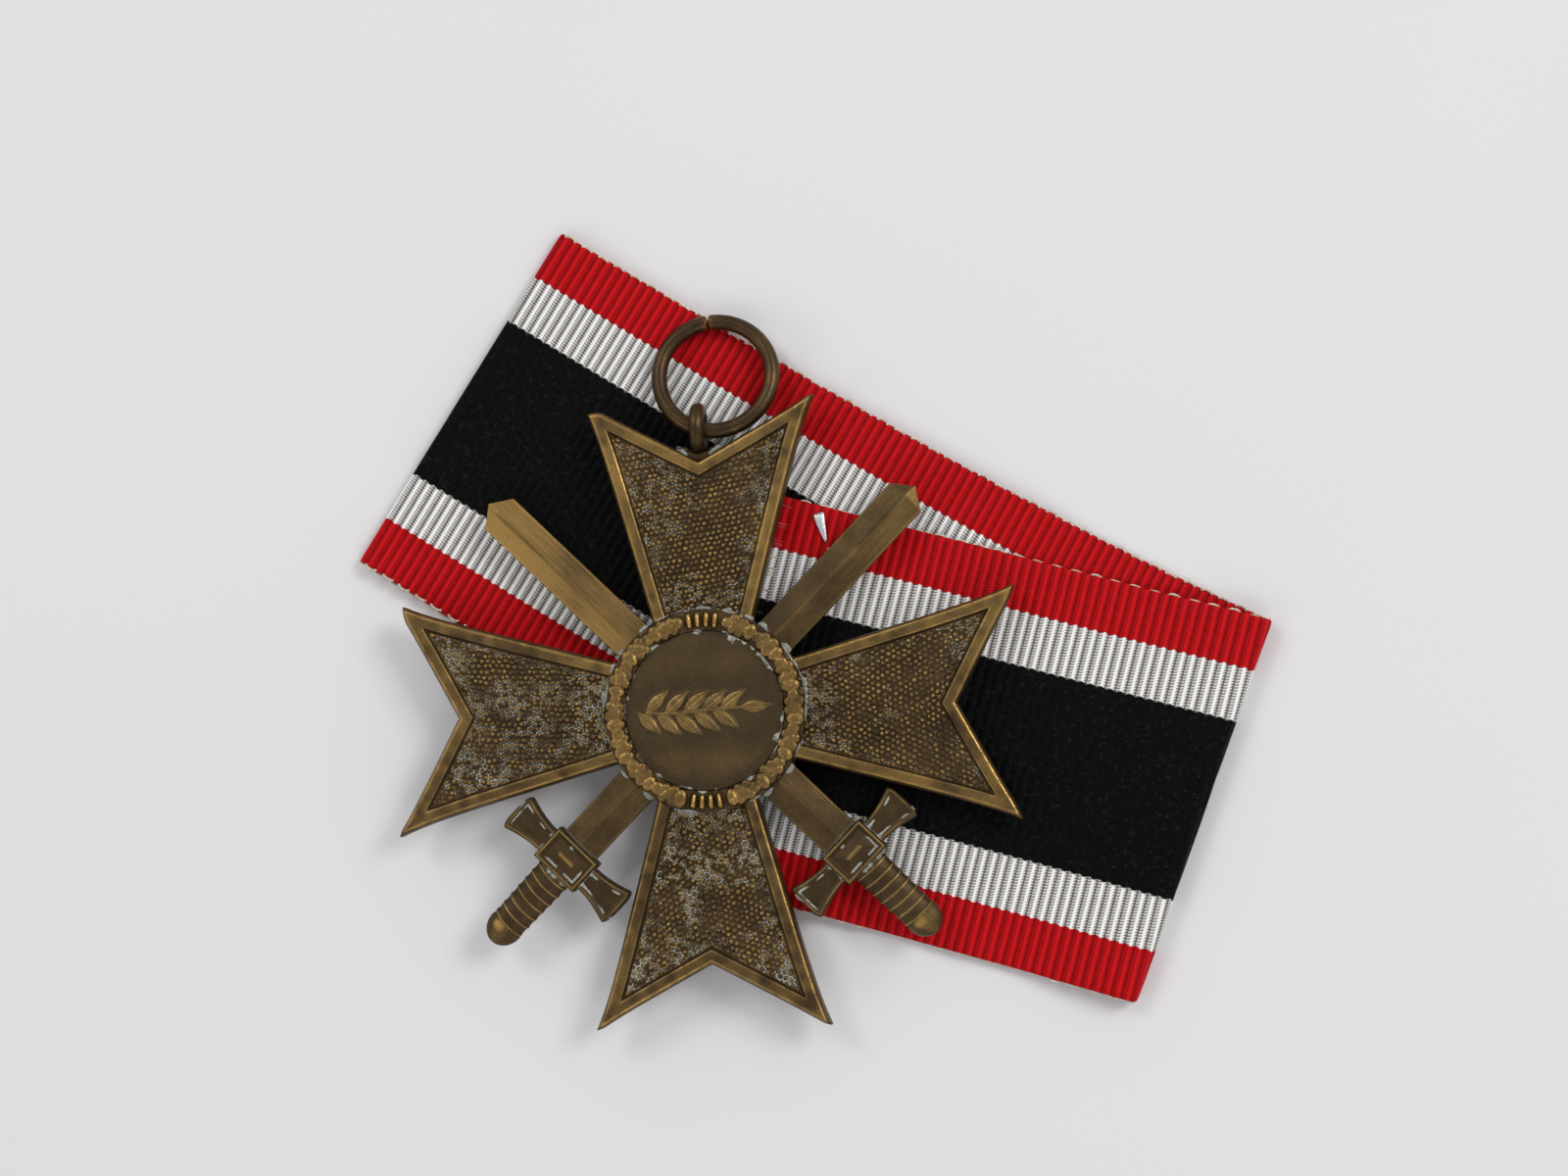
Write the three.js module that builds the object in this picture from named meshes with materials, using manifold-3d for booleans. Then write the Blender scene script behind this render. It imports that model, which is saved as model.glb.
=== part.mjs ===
// A bronze service cross with crossed swords, lying on its folded ribbon.
// Millimetres, +Z up. +Y runs from the cross's centre to its hanging ring, and +X is to the right
// of the face that is looked at. The origin is on the table, straight under the cross's centre.
//
// The ribbon lies on the table in three layers. The cross rests on the ribbon, and its split ring
// is linked through a wire eye in the notch of the top arm.

import * as THREE from 'three';
import { mergeVertices } from 'three/addons/utils/BufferGeometryUtils.js';
import Module from 'manifold-3d';

const wasm = await Module();
wasm.setup();

// ---- driving dimensions -------------------------------------------------------------------

// Cross plate: four flared arms on a round boss, a raised rim round a sunk field on both faces.
const plateThickness = 1.9;
const armReach = 24.0; // from the centre to the level of an arm's two points
const armRootHalf = 3.6; // half width where an arm leaves the boss
const armFlare = 0.277; // growth of the half width for each millimetre outwards
const pointFlick = 0.45; // how far a point turns out beyond the straight flare
const notchDepth = 5.05; // from the level of the points to the bottom of the V between them
const notchHook = 0.25; // how far the V's edges turn up at the points
const rimWidth = 1.15;
const rimDepth = 0.35; // the field lies this far below the rim
const edgeBevelWidth = 0.25;
const edgeBevelHeight = 0.4;

// Centre: a round wreath with a disc inside it on each face.
const wreathOuterRadius = 7.65;
const wreathBandWidth = 1.65;
const wreathHeight = 0.55;
const wreathOverhang = 0.65; // how far the wreath covers the roots of the swords, past the boss
const discClearance = 0.05;
const discHeight = 0.2;
const sprigEndGap = 1.15; // from the sprig's ends to the disc's edge
const sprigHeight = 0.25;
const sprigLeafPairs = 4;
const sprigLeafLength = 2.2;
const sprigLeafWidth = 0.85;
const sprigLeafAngle = 38; // degrees between a leaf and the stem

// Swords: two blade ends above the wreath, and two hilts with a blade stub below it.
const swordGap = 0.15; // between a sword and the plate
const bladeWidth = 3.2;
const bladeFaceDrop = 0.23; // from the plate's face down to a blade's ridge
const bladeEdgeThickness = 0.6;
const bladeShoulderReach = 22.0;
const bladeTipReach = 23.1;
const guardReach = 15.4; // from the centre to the middle of the guard block
const guardLength = 2.9;
const guardWidth = 4.1;
const guardThickness = 1.8;
const quillonGap = 0.3; // between the end of the cross guard and the arm beside it
const quillonRootWidth = 2.2;
const quillonEndWidth = 3.3;
const quillonThickness = 1.3;
const gripWidth = 3.0;
const gripThickness = 1.7;
const gripRidges = 7;
const gripRidgeDepth = 0.16;
const pommelRadius = 1.5;
const pommelReach = 23.9; // from the centre to the pommel's end

// Hanging eye and split ring.
const eyeWire = 1.1;
const eyeSlack = 0.6; // by how much the eye's hole is wider than the ring's wire
const eyeFootWidth = 1.2;
const eyeFootThickness = 1.0;
const eyeFootGap = 0.1;
const eyeAboveNotch = 2.5; // from the notch's bottom to the centre of the eye's hole
const ringOuterDiameter = 9.9;
const ringWire = 1.2;
const ringSplit = 0.15;
const ringSplitAngle = 97; // degrees from +X to the split, about the ring's centre
const ringSway = 1.3; // how far the ring's centre lies to the right of the eye

// Ribbon: a woven strip folded twice, with its cut ends overlapping behind the cross.
const ribbonWidth = 30;
const ribbonThickness = 0.4;
const layerGap = 0.1;
const tailRunLength = 40; // hidden lower run, from the left fold to its cut end
const topRunLength = 35; // upper run, from the right fold to its cut end
const leftFold = { x: -18.85, y: 25.0, lineAngle: 56.4, slant: 0.5, radius: 0.4 };
const rightFold = { x: 36.85, y: -8.43, lineAngle: 68.4, slant: -5.0, radius: 0.8 };
const settleLength = 9; // length over which a layer drops or climbs to its next level

// Staple: a bent wire through the three layers, its two points turned in on top.
const stapleX = 9.4;
const stapleY = 12.3;
const stapleAngle = -76; // degrees from +X to the crown
const stapleSpan = 5.0;
const stapleWire = 0.45;
const stapleCrownThickness = 0.25;
const staplePointLength = 2.2;
const stapleHoleGap = 0.1;
const stapleSeatGap = 0.05; // between the staple and the ribbon above or below it

const restGap = 0.05; // between the cross and the ribbon it rests on
const armCount = 4;
const curveSteps = 6;

// ---- worked-out places --------------------------------------------------------------------

const degrees = Math.PI / 180;
const layerPitch = ribbonThickness + layerGap;
const tableLevel = ribbonThickness / 2; // middle of a layer that lies on the table
const notchFloor = armReach - notchDepth;
const pairTop = tableLevel + layerPitch + ribbonThickness / 2; // top of two layers
const stackTop = pairTop + layerPitch; // top of all three
const bossRadius = wreathOuterRadius - wreathOverhang;
const wreathInnerRadius = wreathOuterRadius - wreathBandWidth;
const discRadius = wreathInnerRadius - discClearance;
const sprigLength = 2 * (discRadius - sprigEndGap);
const bladeRidgeThickness = plateThickness - 2 * bladeFaceDrop;
const eyeRadius = (ringWire + eyeSlack + eyeWire) / 2;
const wreathRestLevel = stackTop + restGap + wreathHeight + plateThickness / 2;
const eyeRestLevel = pairTop + restGap + eyeRadius + eyeWire / 2;
const crossLevel = Math.max(wreathRestLevel, eyeRestLevel);
const eyeReach = notchFloor + eyeAboveNotch;
const ringRadius = (ringOuterDiameter - ringWire) / 2;
const ringDrop = Math.sqrt(ringRadius ** 2 - ringSway ** 2); // from the eye to the ring's centre
const ringRestLevel = pairTop + restGap + ringWire / 2;
const ringLay = Math.asin((crossLevel - ringRestLevel) / (ringDrop + ringRadius));

// ---- helpers ------------------------------------------------------------------------------

/** Turns a closed three.js geometry into a manifold solid. */
function toSolid(geometry) {
  const bare = geometry.clone();
  bare.deleteAttribute('normal');
  bare.deleteAttribute('uv');
  const merged = mergeVertices(bare, 1e-4);
  return new wasm.Manifold(new wasm.Mesh({
    numProp: 3,
    vertProperties: new Float32Array(merged.attributes.position.array),
    triVerts: new Uint32Array(merged.index.array),
  }));
}

/** Turns a manifold solid back into a three.js geometry. */
function toGeometry(solid) {
  const mesh = solid.getMesh();
  const geometry = new THREE.BufferGeometry();
  geometry.setAttribute('position', new THREE.BufferAttribute(new Float32Array(mesh.vertProperties), 3));
  geometry.setIndex(new THREE.BufferAttribute(new Uint32Array(mesh.triVerts), 1));
  geometry.computeVertexNormals();
  return geometry;
}

/** Joins geometries into one solid. */
function join(geometries) {
  return geometries.map(toSolid).reduce((whole, piece) => whole.add(piece));
}

/** Extrudes an outline of [x, y] points, centred on z = 0. */
function slab(points, thickness) {
  const shape = new THREE.Shape(points.map(([x, y]) => new THREE.Vector2(x, y)));
  const geometry = new THREE.ExtrudeGeometry(shape, { depth: thickness, bevelEnabled: false });
  return geometry.translate(0, 0, -thickness / 2);
}

/** A named mesh with its own material. */
function part(name, geometry, color, roughness, metalness) {
  const mesh = new THREE.Mesh(geometry, new THREE.MeshStandardMaterial({ color, roughness, metalness }));
  mesh.name = name;
  return mesh;
}

/** Eases from 0 to 1 with level ends. */
function ease(t) {
  const clamped = Math.min(1, Math.max(0, t));
  return clamped * clamped * (3 - 2 * clamped);
}

// ---- cross plate --------------------------------------------------------------------------

/** Half width of an arm at a distance from the centre: a straight flare and a flick at the point. */
function armHalfWidth(reach) {
  const along = (reach - bossRadius) / (armReach - bossRadius);
  return armRootHalf + armFlare * (reach - rootReach) + pointFlick * Math.max(0, along) ** 8;
}

const rootReach = Math.sqrt(bossRadius ** 2 - armRootHalf ** 2);
const armPointHalf = armHalfWidth(armReach);
const notchSlope = (armReach - notchHook - notchFloor) / armPointHalf;

/** Height of the V's edge at a distance from the arm's middle line. */
function notchEdge(x) {
  return notchFloor + notchSlope * Math.abs(x) + notchHook * Math.abs(x / armPointHalf) ** 6;
}

/** One side and one half of the V of an arm pointing along +Y, from the root to the notch. */
function armHalfOutline() {
  const points = [];
  for (let i = 0; i <= curveSteps; i += 1) {
    const reach = rootReach + (armReach - rootReach) * Math.sqrt(i / curveSteps);
    points.push([armHalfWidth(reach), reach]);
  }
  for (let i = curveSteps - 1; i > 0; i -= 1) {
    const x = armPointHalf * Math.sqrt(i / curveSteps);
    points.push([x, notchEdge(x)]);
  }
  points.push([0, notchFloor]);
  return points;
}

/** Turns [x, y] points about the origin by a whole number of quarter turns. */
function quarterTurns(points, turns) {
  const angle = turns * 90 * degrees;
  return points.map(([x, y]) => [
    x * Math.cos(angle) - y * Math.sin(angle),
    x * Math.sin(angle) + y * Math.cos(angle),
  ]);
}

/** The whole outline of the cross, arm after arm, with the boss's arcs between them. */
function crossOutline() {
  const half = armHalfOutline();
  const mirrored = half.slice(0, -1).map(([x, y]) => [-x, y]).reverse();
  const rootAngle = Math.acos(armRootHalf / bossRadius);
  const arc = [];
  for (let i = 1; i < curveSteps; i += 1) {
    const angle = Math.PI - rootAngle + (2 * rootAngle - Math.PI / 2) * (i / curveSteps);
    arc.push([bossRadius * Math.cos(angle), bossRadius * Math.sin(angle)]);
  }
  const points = [];
  for (let turn = 0; turn < armCount; turn += 1) {
    points.push(...quarterTurns([...half, ...mirrored, ...arc], turn));
  }
  return points;
}

/** The sunk field of the arm along +Y: the arm's outline moved in by the rim's width. */
function fieldOutline() {
  const sideInset = rimWidth * Math.hypot(1, armFlare);
  const floor = notchFloor - rimWidth * Math.hypot(1, notchSlope);
  const innerSide = (reach) => armHalfWidth(reach) - sideInset;
  const innerRoot = Math.sqrt(bossRadius ** 2 - innerSide(bossRadius) ** 2);
  // Where the inner side meets the inner edge of the V.
  let cornerReach = armReach;
  for (let i = 0; i < 20; i += 1) {
    cornerReach = floor + notchSlope * innerSide(cornerReach);
  }
  const points = [];
  for (let i = 0; i <= curveSteps; i += 1) {
    const reach = innerRoot + (cornerReach - innerRoot) * (i / curveSteps);
    points.push([innerSide(reach), reach]);
  }
  points.push([0, floor]);
  const mirrored = points.slice(0, -1).map(([x, y]) => [-x, y]).reverse();
  const arc = [];
  const rootAngle = Math.acos(innerSide(innerRoot) / bossRadius);
  for (let i = 1; i < curveSteps; i += 1) {
    const angle = Math.PI - rootAngle - (Math.PI - 2 * rootAngle) * (i / curveSteps);
    arc.push([bossRadius * Math.cos(angle), bossRadius * Math.sin(angle)]);
  }
  return [...points, ...mirrored, ...arc];
}

/** The struck plate: four arms and the boss in one piece, rims standing above the fields. */
function crossPlate() {
  const shape = new THREE.Shape(crossOutline().map(([x, y]) => new THREE.Vector2(x, y)));
  const geometry = new THREE.ExtrudeGeometry(shape, {
    depth: plateThickness - 2 * edgeBevelHeight,
    bevelEnabled: true,
    bevelThickness: edgeBevelHeight,
    bevelSize: edgeBevelWidth,
    bevelOffset: -edgeBevelWidth,
    bevelSegments: 1,
  });
  geometry.translate(0, 0, edgeBevelHeight - plateThickness / 2);
  let plate = toSolid(geometry);
  for (let turn = 0; turn < armCount; turn += 1) {
    for (const side of [-1, 1]) {
      const pocket = slab(quarterTurns(fieldOutline(), turn), 2 * rimDepth);
      pocket.translate(0, 0, side * plateThickness / 2);
      plate = plate.subtract(toSolid(pocket));
    }
  }
  return toGeometry(plate);
}

// ---- centre -------------------------------------------------------------------------------

/** A wreath's plain body: a flat-bottomed ring with a rounded top, standing on the plate. */
function wreathRing() {
  const middle = (wreathInnerRadius + wreathOuterRadius) / 2;
  const half = (wreathOuterRadius - wreathInnerRadius) / 2;
  const profile = [];
  for (let i = 0; i <= curveSteps; i += 1) {
    const angle = Math.PI * (i / curveSteps);
    profile.push(new THREE.Vector2(middle + half * Math.cos(angle), wreathHeight * Math.sin(angle)));
  }
  profile.push(profile[0].clone());
  const geometry = new THREE.LatheGeometry(profile, 48);
  return geometry.rotateX(Math.PI / 2);
}

/** One pointed leaf of the sprig, from the origin along +X. */
function leafOutline() {
  const points = [];
  for (let i = 0; i <= curveSteps; i += 1) {
    const along = i / curveSteps;
    points.push([sprigLeafLength * along, -0.5 * sprigLeafWidth * Math.sin(Math.PI * along)]);
  }
  for (let i = curveSteps - 1; i > 0; i -= 1) {
    points.push([points[i][0], -points[i][1]]);
  }
  return points;
}

/** The plain disc inside a wreath. */
function disc() {
  const geometry = new THREE.CylinderGeometry(discRadius, discRadius, discHeight, 48);
  return geometry.rotateX(Math.PI / 2).translate(0, 0, discHeight / 2);
}

/** The front disc, with a raised laurel sprig laid across it. */
function discWithSprig() {
  const pieces = [disc()];
  const relief = discHeight + sprigHeight;
  const stem = new THREE.BoxGeometry(sprigLength - sprigLeafLength, 0.35, relief);
  pieces.push(stem.translate(-sprigLeafLength / 2, 0, relief / 2));
  const pitch = (sprigLength - 2 * sprigLeafLength) / sprigLeafPairs;
  const start = -sprigLength / 2 + 0.3 * sprigLeafLength;
  for (let i = 0; i < sprigLeafPairs; i += 1) {
    for (const side of [-1, 1]) {
      const leaf = slab(leafOutline(), relief).translate(0, 0, relief / 2);
      leaf.rotateZ(side * sprigLeafAngle * degrees);
      pieces.push(leaf.translate(start + pitch * (i + 0.25 * side), 0, 0));
    }
  }
  const endLeaf = slab(leafOutline(), relief);
  pieces.push(endLeaf.translate(sprigLength / 2 - 1.2 * sprigLeafLength, 0, relief / 2));
  return toGeometry(join(pieces));
}

// ---- swords -------------------------------------------------------------------------------

/** A stretch of double-edged blade along +X, with a ridge down both faces. */
function bladeStretch(start, end) {
  const edge = bladeEdgeThickness / 2;
  const ridge = bladeRidgeThickness / 2;
  const half = bladeWidth / 2;
  const section = [[half, -edge], [half, edge], [0, ridge], [-half, edge], [-half, -edge], [0, -ridge]];
  const geometry = slab(section, end - start);
  geometry.applyMatrix4(new THREE.Matrix4().makeBasis(
    new THREE.Vector3(0, 1, 0),
    new THREE.Vector3(0, 0, 1),
    new THREE.Vector3(1, 0, 0),
  ));
  return toSolid(geometry.translate((start + end) / 2, 0, 0));
}

/** The plate's outline grown by the sword gap, turned so that the sword's axis is +X. */
function plateClearance() {
  const shape = new THREE.Shape(crossOutline().map(([x, y]) => new THREE.Vector2(x, y)));
  const geometry = new THREE.ExtrudeGeometry(shape, {
    depth: 2 * plateThickness,
    bevelEnabled: true,
    bevelThickness: edgeBevelHeight,
    bevelSize: 0,
    bevelOffset: swordGap,
    bevelSegments: 1,
  });
  return toSolid(geometry.translate(0, 0, -plateThickness).rotateZ(45 * degrees));
}

/** How far the cross guard reaches from the sword's axis: to the gap beside the flared arm. */
function guardReachAcross() {
  const inner = guardReach - quillonEndWidth / 2;
  const gap = quillonGap * Math.hypot(1, armFlare);
  let reach = guardWidth;
  for (let i = 0; i < 30; i += 1) {
    reach = inner - Math.SQRT2 * (armHalfWidth((inner + reach) / Math.SQRT2) + gap);
  }
  return reach;
}

/** A blade end along +X: its root hollowed to the plate, its end a blunt gable. */
function bladeEnd() {
  const half = bladeWidth / 2;
  const inner = bossRadius - half;
  const outline = [
    [inner, -half],
    [bladeShoulderReach, -half],
    [bladeTipReach, 0],
    [bladeShoulderReach, half],
    [inner, half],
  ];
  const blade = bladeStretch(inner, bladeTipReach).intersect(toSolid(slab(outline, plateThickness)));
  return toGeometry(blade.subtract(plateClearance()));
}

/** The grip and pommel along +X: turned rings on a slightly flattened rod with a round end. */
function gripAndPommel() {
  const start = guardReach;
  const end = pommelReach - pommelRadius;
  const half = gripWidth / 2;
  const steps = gripRidges * 2;
  const profile = [new THREE.Vector2(0, start), new THREE.Vector2(half, start)];
  for (let i = 1; i <= steps; i += 1) {
    const radius = half - (i % 2) * gripRidgeDepth;
    const ridgeStart = guardReach + guardLength / 2;
    profile.push(new THREE.Vector2(radius, ridgeStart + (end - ridgeStart) * (i / steps)));
  }
  for (let i = 1; i < curveSteps; i += 1) {
    const angle = (Math.PI / 2) * (i / curveSteps);
    profile.push(new THREE.Vector2(pommelRadius * Math.cos(angle), end + pommelRadius * Math.sin(angle)));
  }
  profile.push(new THREE.Vector2(0, pommelReach));
  const geometry = new THREE.LatheGeometry(profile, 16);
  geometry.rotateZ(-Math.PI / 2);
  return geometry.scale(1, 1, gripThickness / gripWidth);
}

/** One arm of the cross guard, flaring towards its end. */
function quillon(side) {
  const root = quillonRootWidth / 2;
  const end = quillonEndWidth / 2;
  const reach = side * guardReachAcross();
  const outline = [
    [guardReach - root, 0],
    [guardReach + root, 0],
    [guardReach + end, reach],
    [guardReach - end, reach],
  ];
  return slab(side > 0 ? outline : outline.reverse(), quillonThickness);
}

/** A hilt along +X: blade stub, cross guard, block, grip and pommel in one casting. */
function hilt() {
  const block = new THREE.BoxGeometry(guardLength, guardWidth, guardThickness).translate(guardReach, 0, 0);
  const fittings = join([block, quillon(-1), quillon(1), gripAndPommel()]);
  const stub = bladeStretch(bossRadius - bladeWidth / 2, guardReach);
  return toGeometry(stub.add(fittings).subtract(plateClearance()));
}

// ---- eye, ring and staple -----------------------------------------------------------------

/** The wire eye, its hole along X, with a wedge foot that fits the notch of the top arm. */
function hangingEye() {
  const loop = new THREE.TorusGeometry(eyeRadius, eyeWire / 2, 12, 28).rotateY(Math.PI / 2);
  const half = eyeFootWidth / 2;
  const foot = notchFloor + eyeFootGap * Math.hypot(1, notchSlope) - eyeReach;
  const top = -eyeRadius;
  const outline = [
    [0, foot],
    [half, foot + notchSlope * half],
    [half, top],
    [-half, top],
    [-half, foot + notchSlope * half],
  ];
  return toGeometry(join([loop, slab(outline, eyeFootThickness)]));
}

/** An arc of a circle in the XY plane, as a path for the ring's wire. */
class WireArc extends THREE.Curve {
  constructor(radius, start, sweep) {
    super();
    this.radius = radius;
    this.start = start;
    this.sweep = sweep;
  }

  getPoint(t, target = new THREE.Vector3()) {
    const angle = this.start + this.sweep * t;
    return target.set(this.radius * Math.cos(angle), this.radius * Math.sin(angle), 0);
  }
}

/** The jump ring: round wire bent to a circle, with a thin split between its ends. */
function splitRing() {
  const splitSweep = ringSplit / ringRadius;
  const start = ringSplitAngle * degrees + splitSweep / 2;
  const section = new THREE.Shape();
  section.absarc(0, 0, ringWire / 2, 0, 2 * Math.PI, false);
  return new THREE.ExtrudeGeometry(section, {
    steps: 48,
    curveSegments: 6,
    bevelEnabled: false,
    extrudePath: new WireArc(ringRadius, start, 2 * Math.PI - splitSweep),
  });
}

/** The staple, crown along X and legs up, its points turned in over the top layer. */
function staple() {
  const pointBottom = stackTop + stapleSeatGap;
  const pieces = [
    new THREE.BoxGeometry(stapleSpan + stapleWire, stapleWire, stapleCrownThickness)
      .translate(0, 0, stapleCrownThickness / 2),
  ];
  for (const side of [-1, 1]) {
    const legX = side * stapleSpan / 2;
    const top = pointBottom + stapleCrownThickness;
    pieces.push(new THREE.BoxGeometry(stapleWire, stapleWire, top).translate(legX, 0, top / 2));
    const point = slab([
      [legX, -side * stapleWire / 2],
      [legX, side * stapleWire / 2],
      [legX - side * staplePointLength, 0],
    ], stapleCrownThickness);
    pieces.push(point.translate(0, 0, pointBottom + stapleCrownThickness / 2));
  }
  return toGeometry(join(pieces));
}

// ---- ribbon -------------------------------------------------------------------------------

/** A unit vector in the table plane at an angle in degrees. */
function heading(angle) {
  return new THREE.Vector3(Math.cos(angle * degrees), Math.sin(angle * degrees), 0);
}

/**
 * The middle line of a fold: half a turn about the fold's own line, from level z to z + 2 radius.
 * The strip crosses the line at its slant, so it also creeps along the line as it turns.
 */
function foldStations(fold, outwardTurn, z) {
  const line = heading(fold.lineAngle);
  const outward = heading(fold.lineAngle + outwardTurn);
  const creep = Math.tan(fold.slant * degrees) * fold.radius;
  const steps = 8;
  const stations = [];
  for (let i = 0; i <= steps; i += 1) {
    const angle = Math.PI * (i / steps);
    const point = new THREE.Vector3(fold.x, fold.y, z + fold.radius * (1 - Math.cos(angle)));
    point.addScaledVector(outward, fold.radius * (Math.sin(angle) - 1));
    point.addScaledVector(line, creep * (angle - Math.PI / 2));
    stations.push({ point, lineAngle: fold.lineAngle });
  }
  return stations;
}

/** How far along the middle run a place on the table plane is, from the left fold. */
function middleDistance(x, y) {
  const chord = new THREE.Vector2(rightFold.x - leftFold.x, rightFold.y - leftFold.y).normalize();
  return chord.dot(new THREE.Vector2(x - leftFold.x, y - leftFold.y));
}

/** The level of the middle run over a place: off the fold, over the tail, then down to the table. */
function middleLevel(x, y) {
  const distance = middleDistance(x, y);
  const offFold = (2 * leftFold.radius - layerPitch) * (1 - ease(distance / settleLength));
  const overTail = layerPitch * (1 - ease((distance - tailRunLength - 1) / settleLength));
  return tableLevel + offFold + overTail;
}

/** The level of the top run over a place: down off the right fold, then a layer above the middle run. */
function topLevel(distance, x, y) {
  const offFold = (2 * rightFold.radius - layerPitch) * (1 - ease(distance / settleLength));
  return middleLevel(x, y) + layerPitch + offFold;
}

/** Stations of a straight run that leaves a fold and turns square to its cut end. */
function runStations(start, direction, fold, runLength, steps, level) {
  const cutAngle = fold.lineAngle - fold.slant;
  const stations = [];
  for (let i = 1; i <= steps; i += 1) {
    const distance = runLength * (i / steps);
    const point = start.clone().addScaledVector(direction, distance);
    const lineAngle = THREE.MathUtils.lerp(fold.lineAngle, cutAngle, i / steps);
    stations.push({ point, lineAngle, level: (x, y) => level(distance, x, y) });
  }
  return stations;
}

/** Stations along the whole strip, from the tail's cut end to the top run's cut end. */
function ribbonStations() {
  const leftBend = foldStations(leftFold, 90, tableLevel);
  const rightBend = foldStations(rightFold, -90, tableLevel);
  const tailHeading = heading(leftFold.lineAngle - 90 - leftFold.slant);
  const topHeading = heading(rightFold.lineAngle + 90 - rightFold.slant);
  const tail = runStations(leftBend[0].point, tailHeading, leftFold, tailRunLength, 12, () => tableLevel);

  const from = leftBend[leftBend.length - 1].point;
  const to = rightBend[0].point;
  const handle = from.distanceTo(to) / 3;
  const leave = heading(leftFold.lineAngle - 90 + leftFold.slant).multiplyScalar(handle);
  const arrive = heading(rightFold.lineAngle - 90 + rightFold.slant).multiplyScalar(-handle);
  const plan = new THREE.CubicBezierCurve3(from, from.clone().add(leave), to.clone().add(arrive), to);
  const middle = [];
  const middleSteps = 32;
  for (let i = 1; i < middleSteps; i += 1) {
    const t = i / middleSteps;
    const lineAngle = THREE.MathUtils.lerp(leftFold.lineAngle, rightFold.lineAngle, ease(t));
    middle.push({ point: plan.getPoint(t), lineAngle, level: middleLevel });
  }

  const rightEnd = rightBend[rightBend.length - 1].point;
  const top = runStations(rightEnd, topHeading, rightFold, topRunLength, 18, topLevel);
  return [...tail.reverse(), ...leftBend, ...middle, ...rightBend, ...top];
}

/** The woven strip as one closed solid: a flat section carried along its stations. */
function ribbonStrip() {
  const stations = ribbonStations();
  const positions = [];
  stations.forEach(({ point, level }) => {
    point.z = level ? level(point.x, point.y) : point.z;
  });
  stations.forEach(({ point, lineAngle, level }, i) => {
    const before = stations[Math.max(0, i - 1)].point;
    const after = stations[Math.min(stations.length - 1, i + 1)].point;
    const along = after.clone().sub(before).normalize();
    const across = heading(lineAngle);
    const normal = along.clone().cross(across);
    const reach = ribbonWidth / 2 / normal.length();
    normal.normalize();
    for (const [side, lift] of [[-1, -1], [-1, 1], [1, 1], [1, -1]]) {
      const corner = point.clone().addScaledVector(across, side * reach);
      corner.z = level ? level(corner.x, corner.y) : corner.z;
      corner.addScaledVector(normal, lift * ribbonThickness / 2);
      positions.push(corner.x, corner.y, corner.z);
    }
  });
  const index = [0, 1, 2, 0, 2, 3];
  for (let i = 0; i < stations.length - 1; i += 1) {
    for (let k = 0; k < 4; k += 1) {
      const a = 4 * i + k;
      const b = 4 * i + ((k + 1) % 4);
      index.push(a, a + 4, b, b, a + 4, b + 4);
    }
  }
  const end = 4 * (stations.length - 1);
  index.push(end, end + 2, end + 1, end, end + 3, end + 2);
  const geometry = new THREE.BufferGeometry();
  geometry.setAttribute('position', new THREE.Float32BufferAttribute(positions, 3));
  geometry.setIndex(index);
  return geometry;
}

/** The ribbon with the staple's two holes, and the groove its crown is pressed into underneath. */
function ribbon() {
  const hole = stapleWire + 2 * stapleHoleGap;
  const grooveDepth = 2 * (stapleCrownThickness + stapleSeatGap);
  const cuts = [new THREE.BoxGeometry(stapleSpan + hole, hole, grooveDepth)];
  for (const side of [-1, 1]) {
    cuts.push(new THREE.BoxGeometry(hole, hole, 4 * stackTop).translate(side * stapleSpan / 2, 0, 0));
  }
  const punch = cuts.map((cut) => cut.rotateZ(stapleAngle * degrees).translate(stapleX, stapleY, 0));
  return toGeometry(toSolid(ribbonStrip()).subtract(join(punch)));
}

// ---- assembly -----------------------------------------------------------------------------

const bronze = 0x7a6238;
const wornBronze = 0x8f7440;
const darkBronze = 0x5c4a2c;

const cross = new THREE.Group();
cross.position.z = crossLevel;
cross.add(part('cross_plate', crossPlate(), bronze, 0.5, 0.9));

for (const [face, turn] of [['front', 0], ['back', Math.PI]]) {
  const side = new THREE.Group();
  side.rotation.y = turn;
  const wreath = part(`wreath_${face}`, wreathRing(), wornBronze, 0.4, 0.9);
  const centre = part(`disc_${face}`, face === 'front' ? discWithSprig() : disc(), darkBronze, 0.5, 0.9);
  wreath.position.z = plateThickness / 2;
  centre.position.z = plateThickness / 2;
  side.add(wreath, centre);
  cross.add(side);
}

const swordParts = [
  ['blade_end_right', bladeEnd, 45],
  ['blade_end_left', bladeEnd, 135],
  ['hilt_left', hilt, 225],
  ['hilt_right', hilt, 315],
];
for (const [name, make, angle] of swordParts) {
  const piece = part(name, make(), wornBronze, 0.45, 0.9);
  piece.rotation.z = angle * degrees;
  cross.add(piece);
}

const eye = part('hanging_eye', hangingEye(), bronze, 0.4, 0.9);
eye.position.y = eyeReach;
cross.add(eye);

const ringHinge = new THREE.Group();
ringHinge.position.y = eyeReach;
ringHinge.rotation.x = -ringLay;
const ring = part('split_ring', splitRing(), bronze, 0.4, 0.9);
ring.position.set(ringSway, ringDrop, 0);
ringHinge.add(ring);
cross.add(ringHinge);

const fastening = part('staple', staple(), 0xc8cbd0, 0.25, 1.0);
fastening.rotation.z = stapleAngle * degrees;
fastening.position.set(stapleX, stapleY, 0);

const medal = new THREE.Group();
medal.add(part('ribbon', ribbon(), 0x8c1a20, 0.9, 0.0), fastening, cross);

export default medal;
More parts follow.
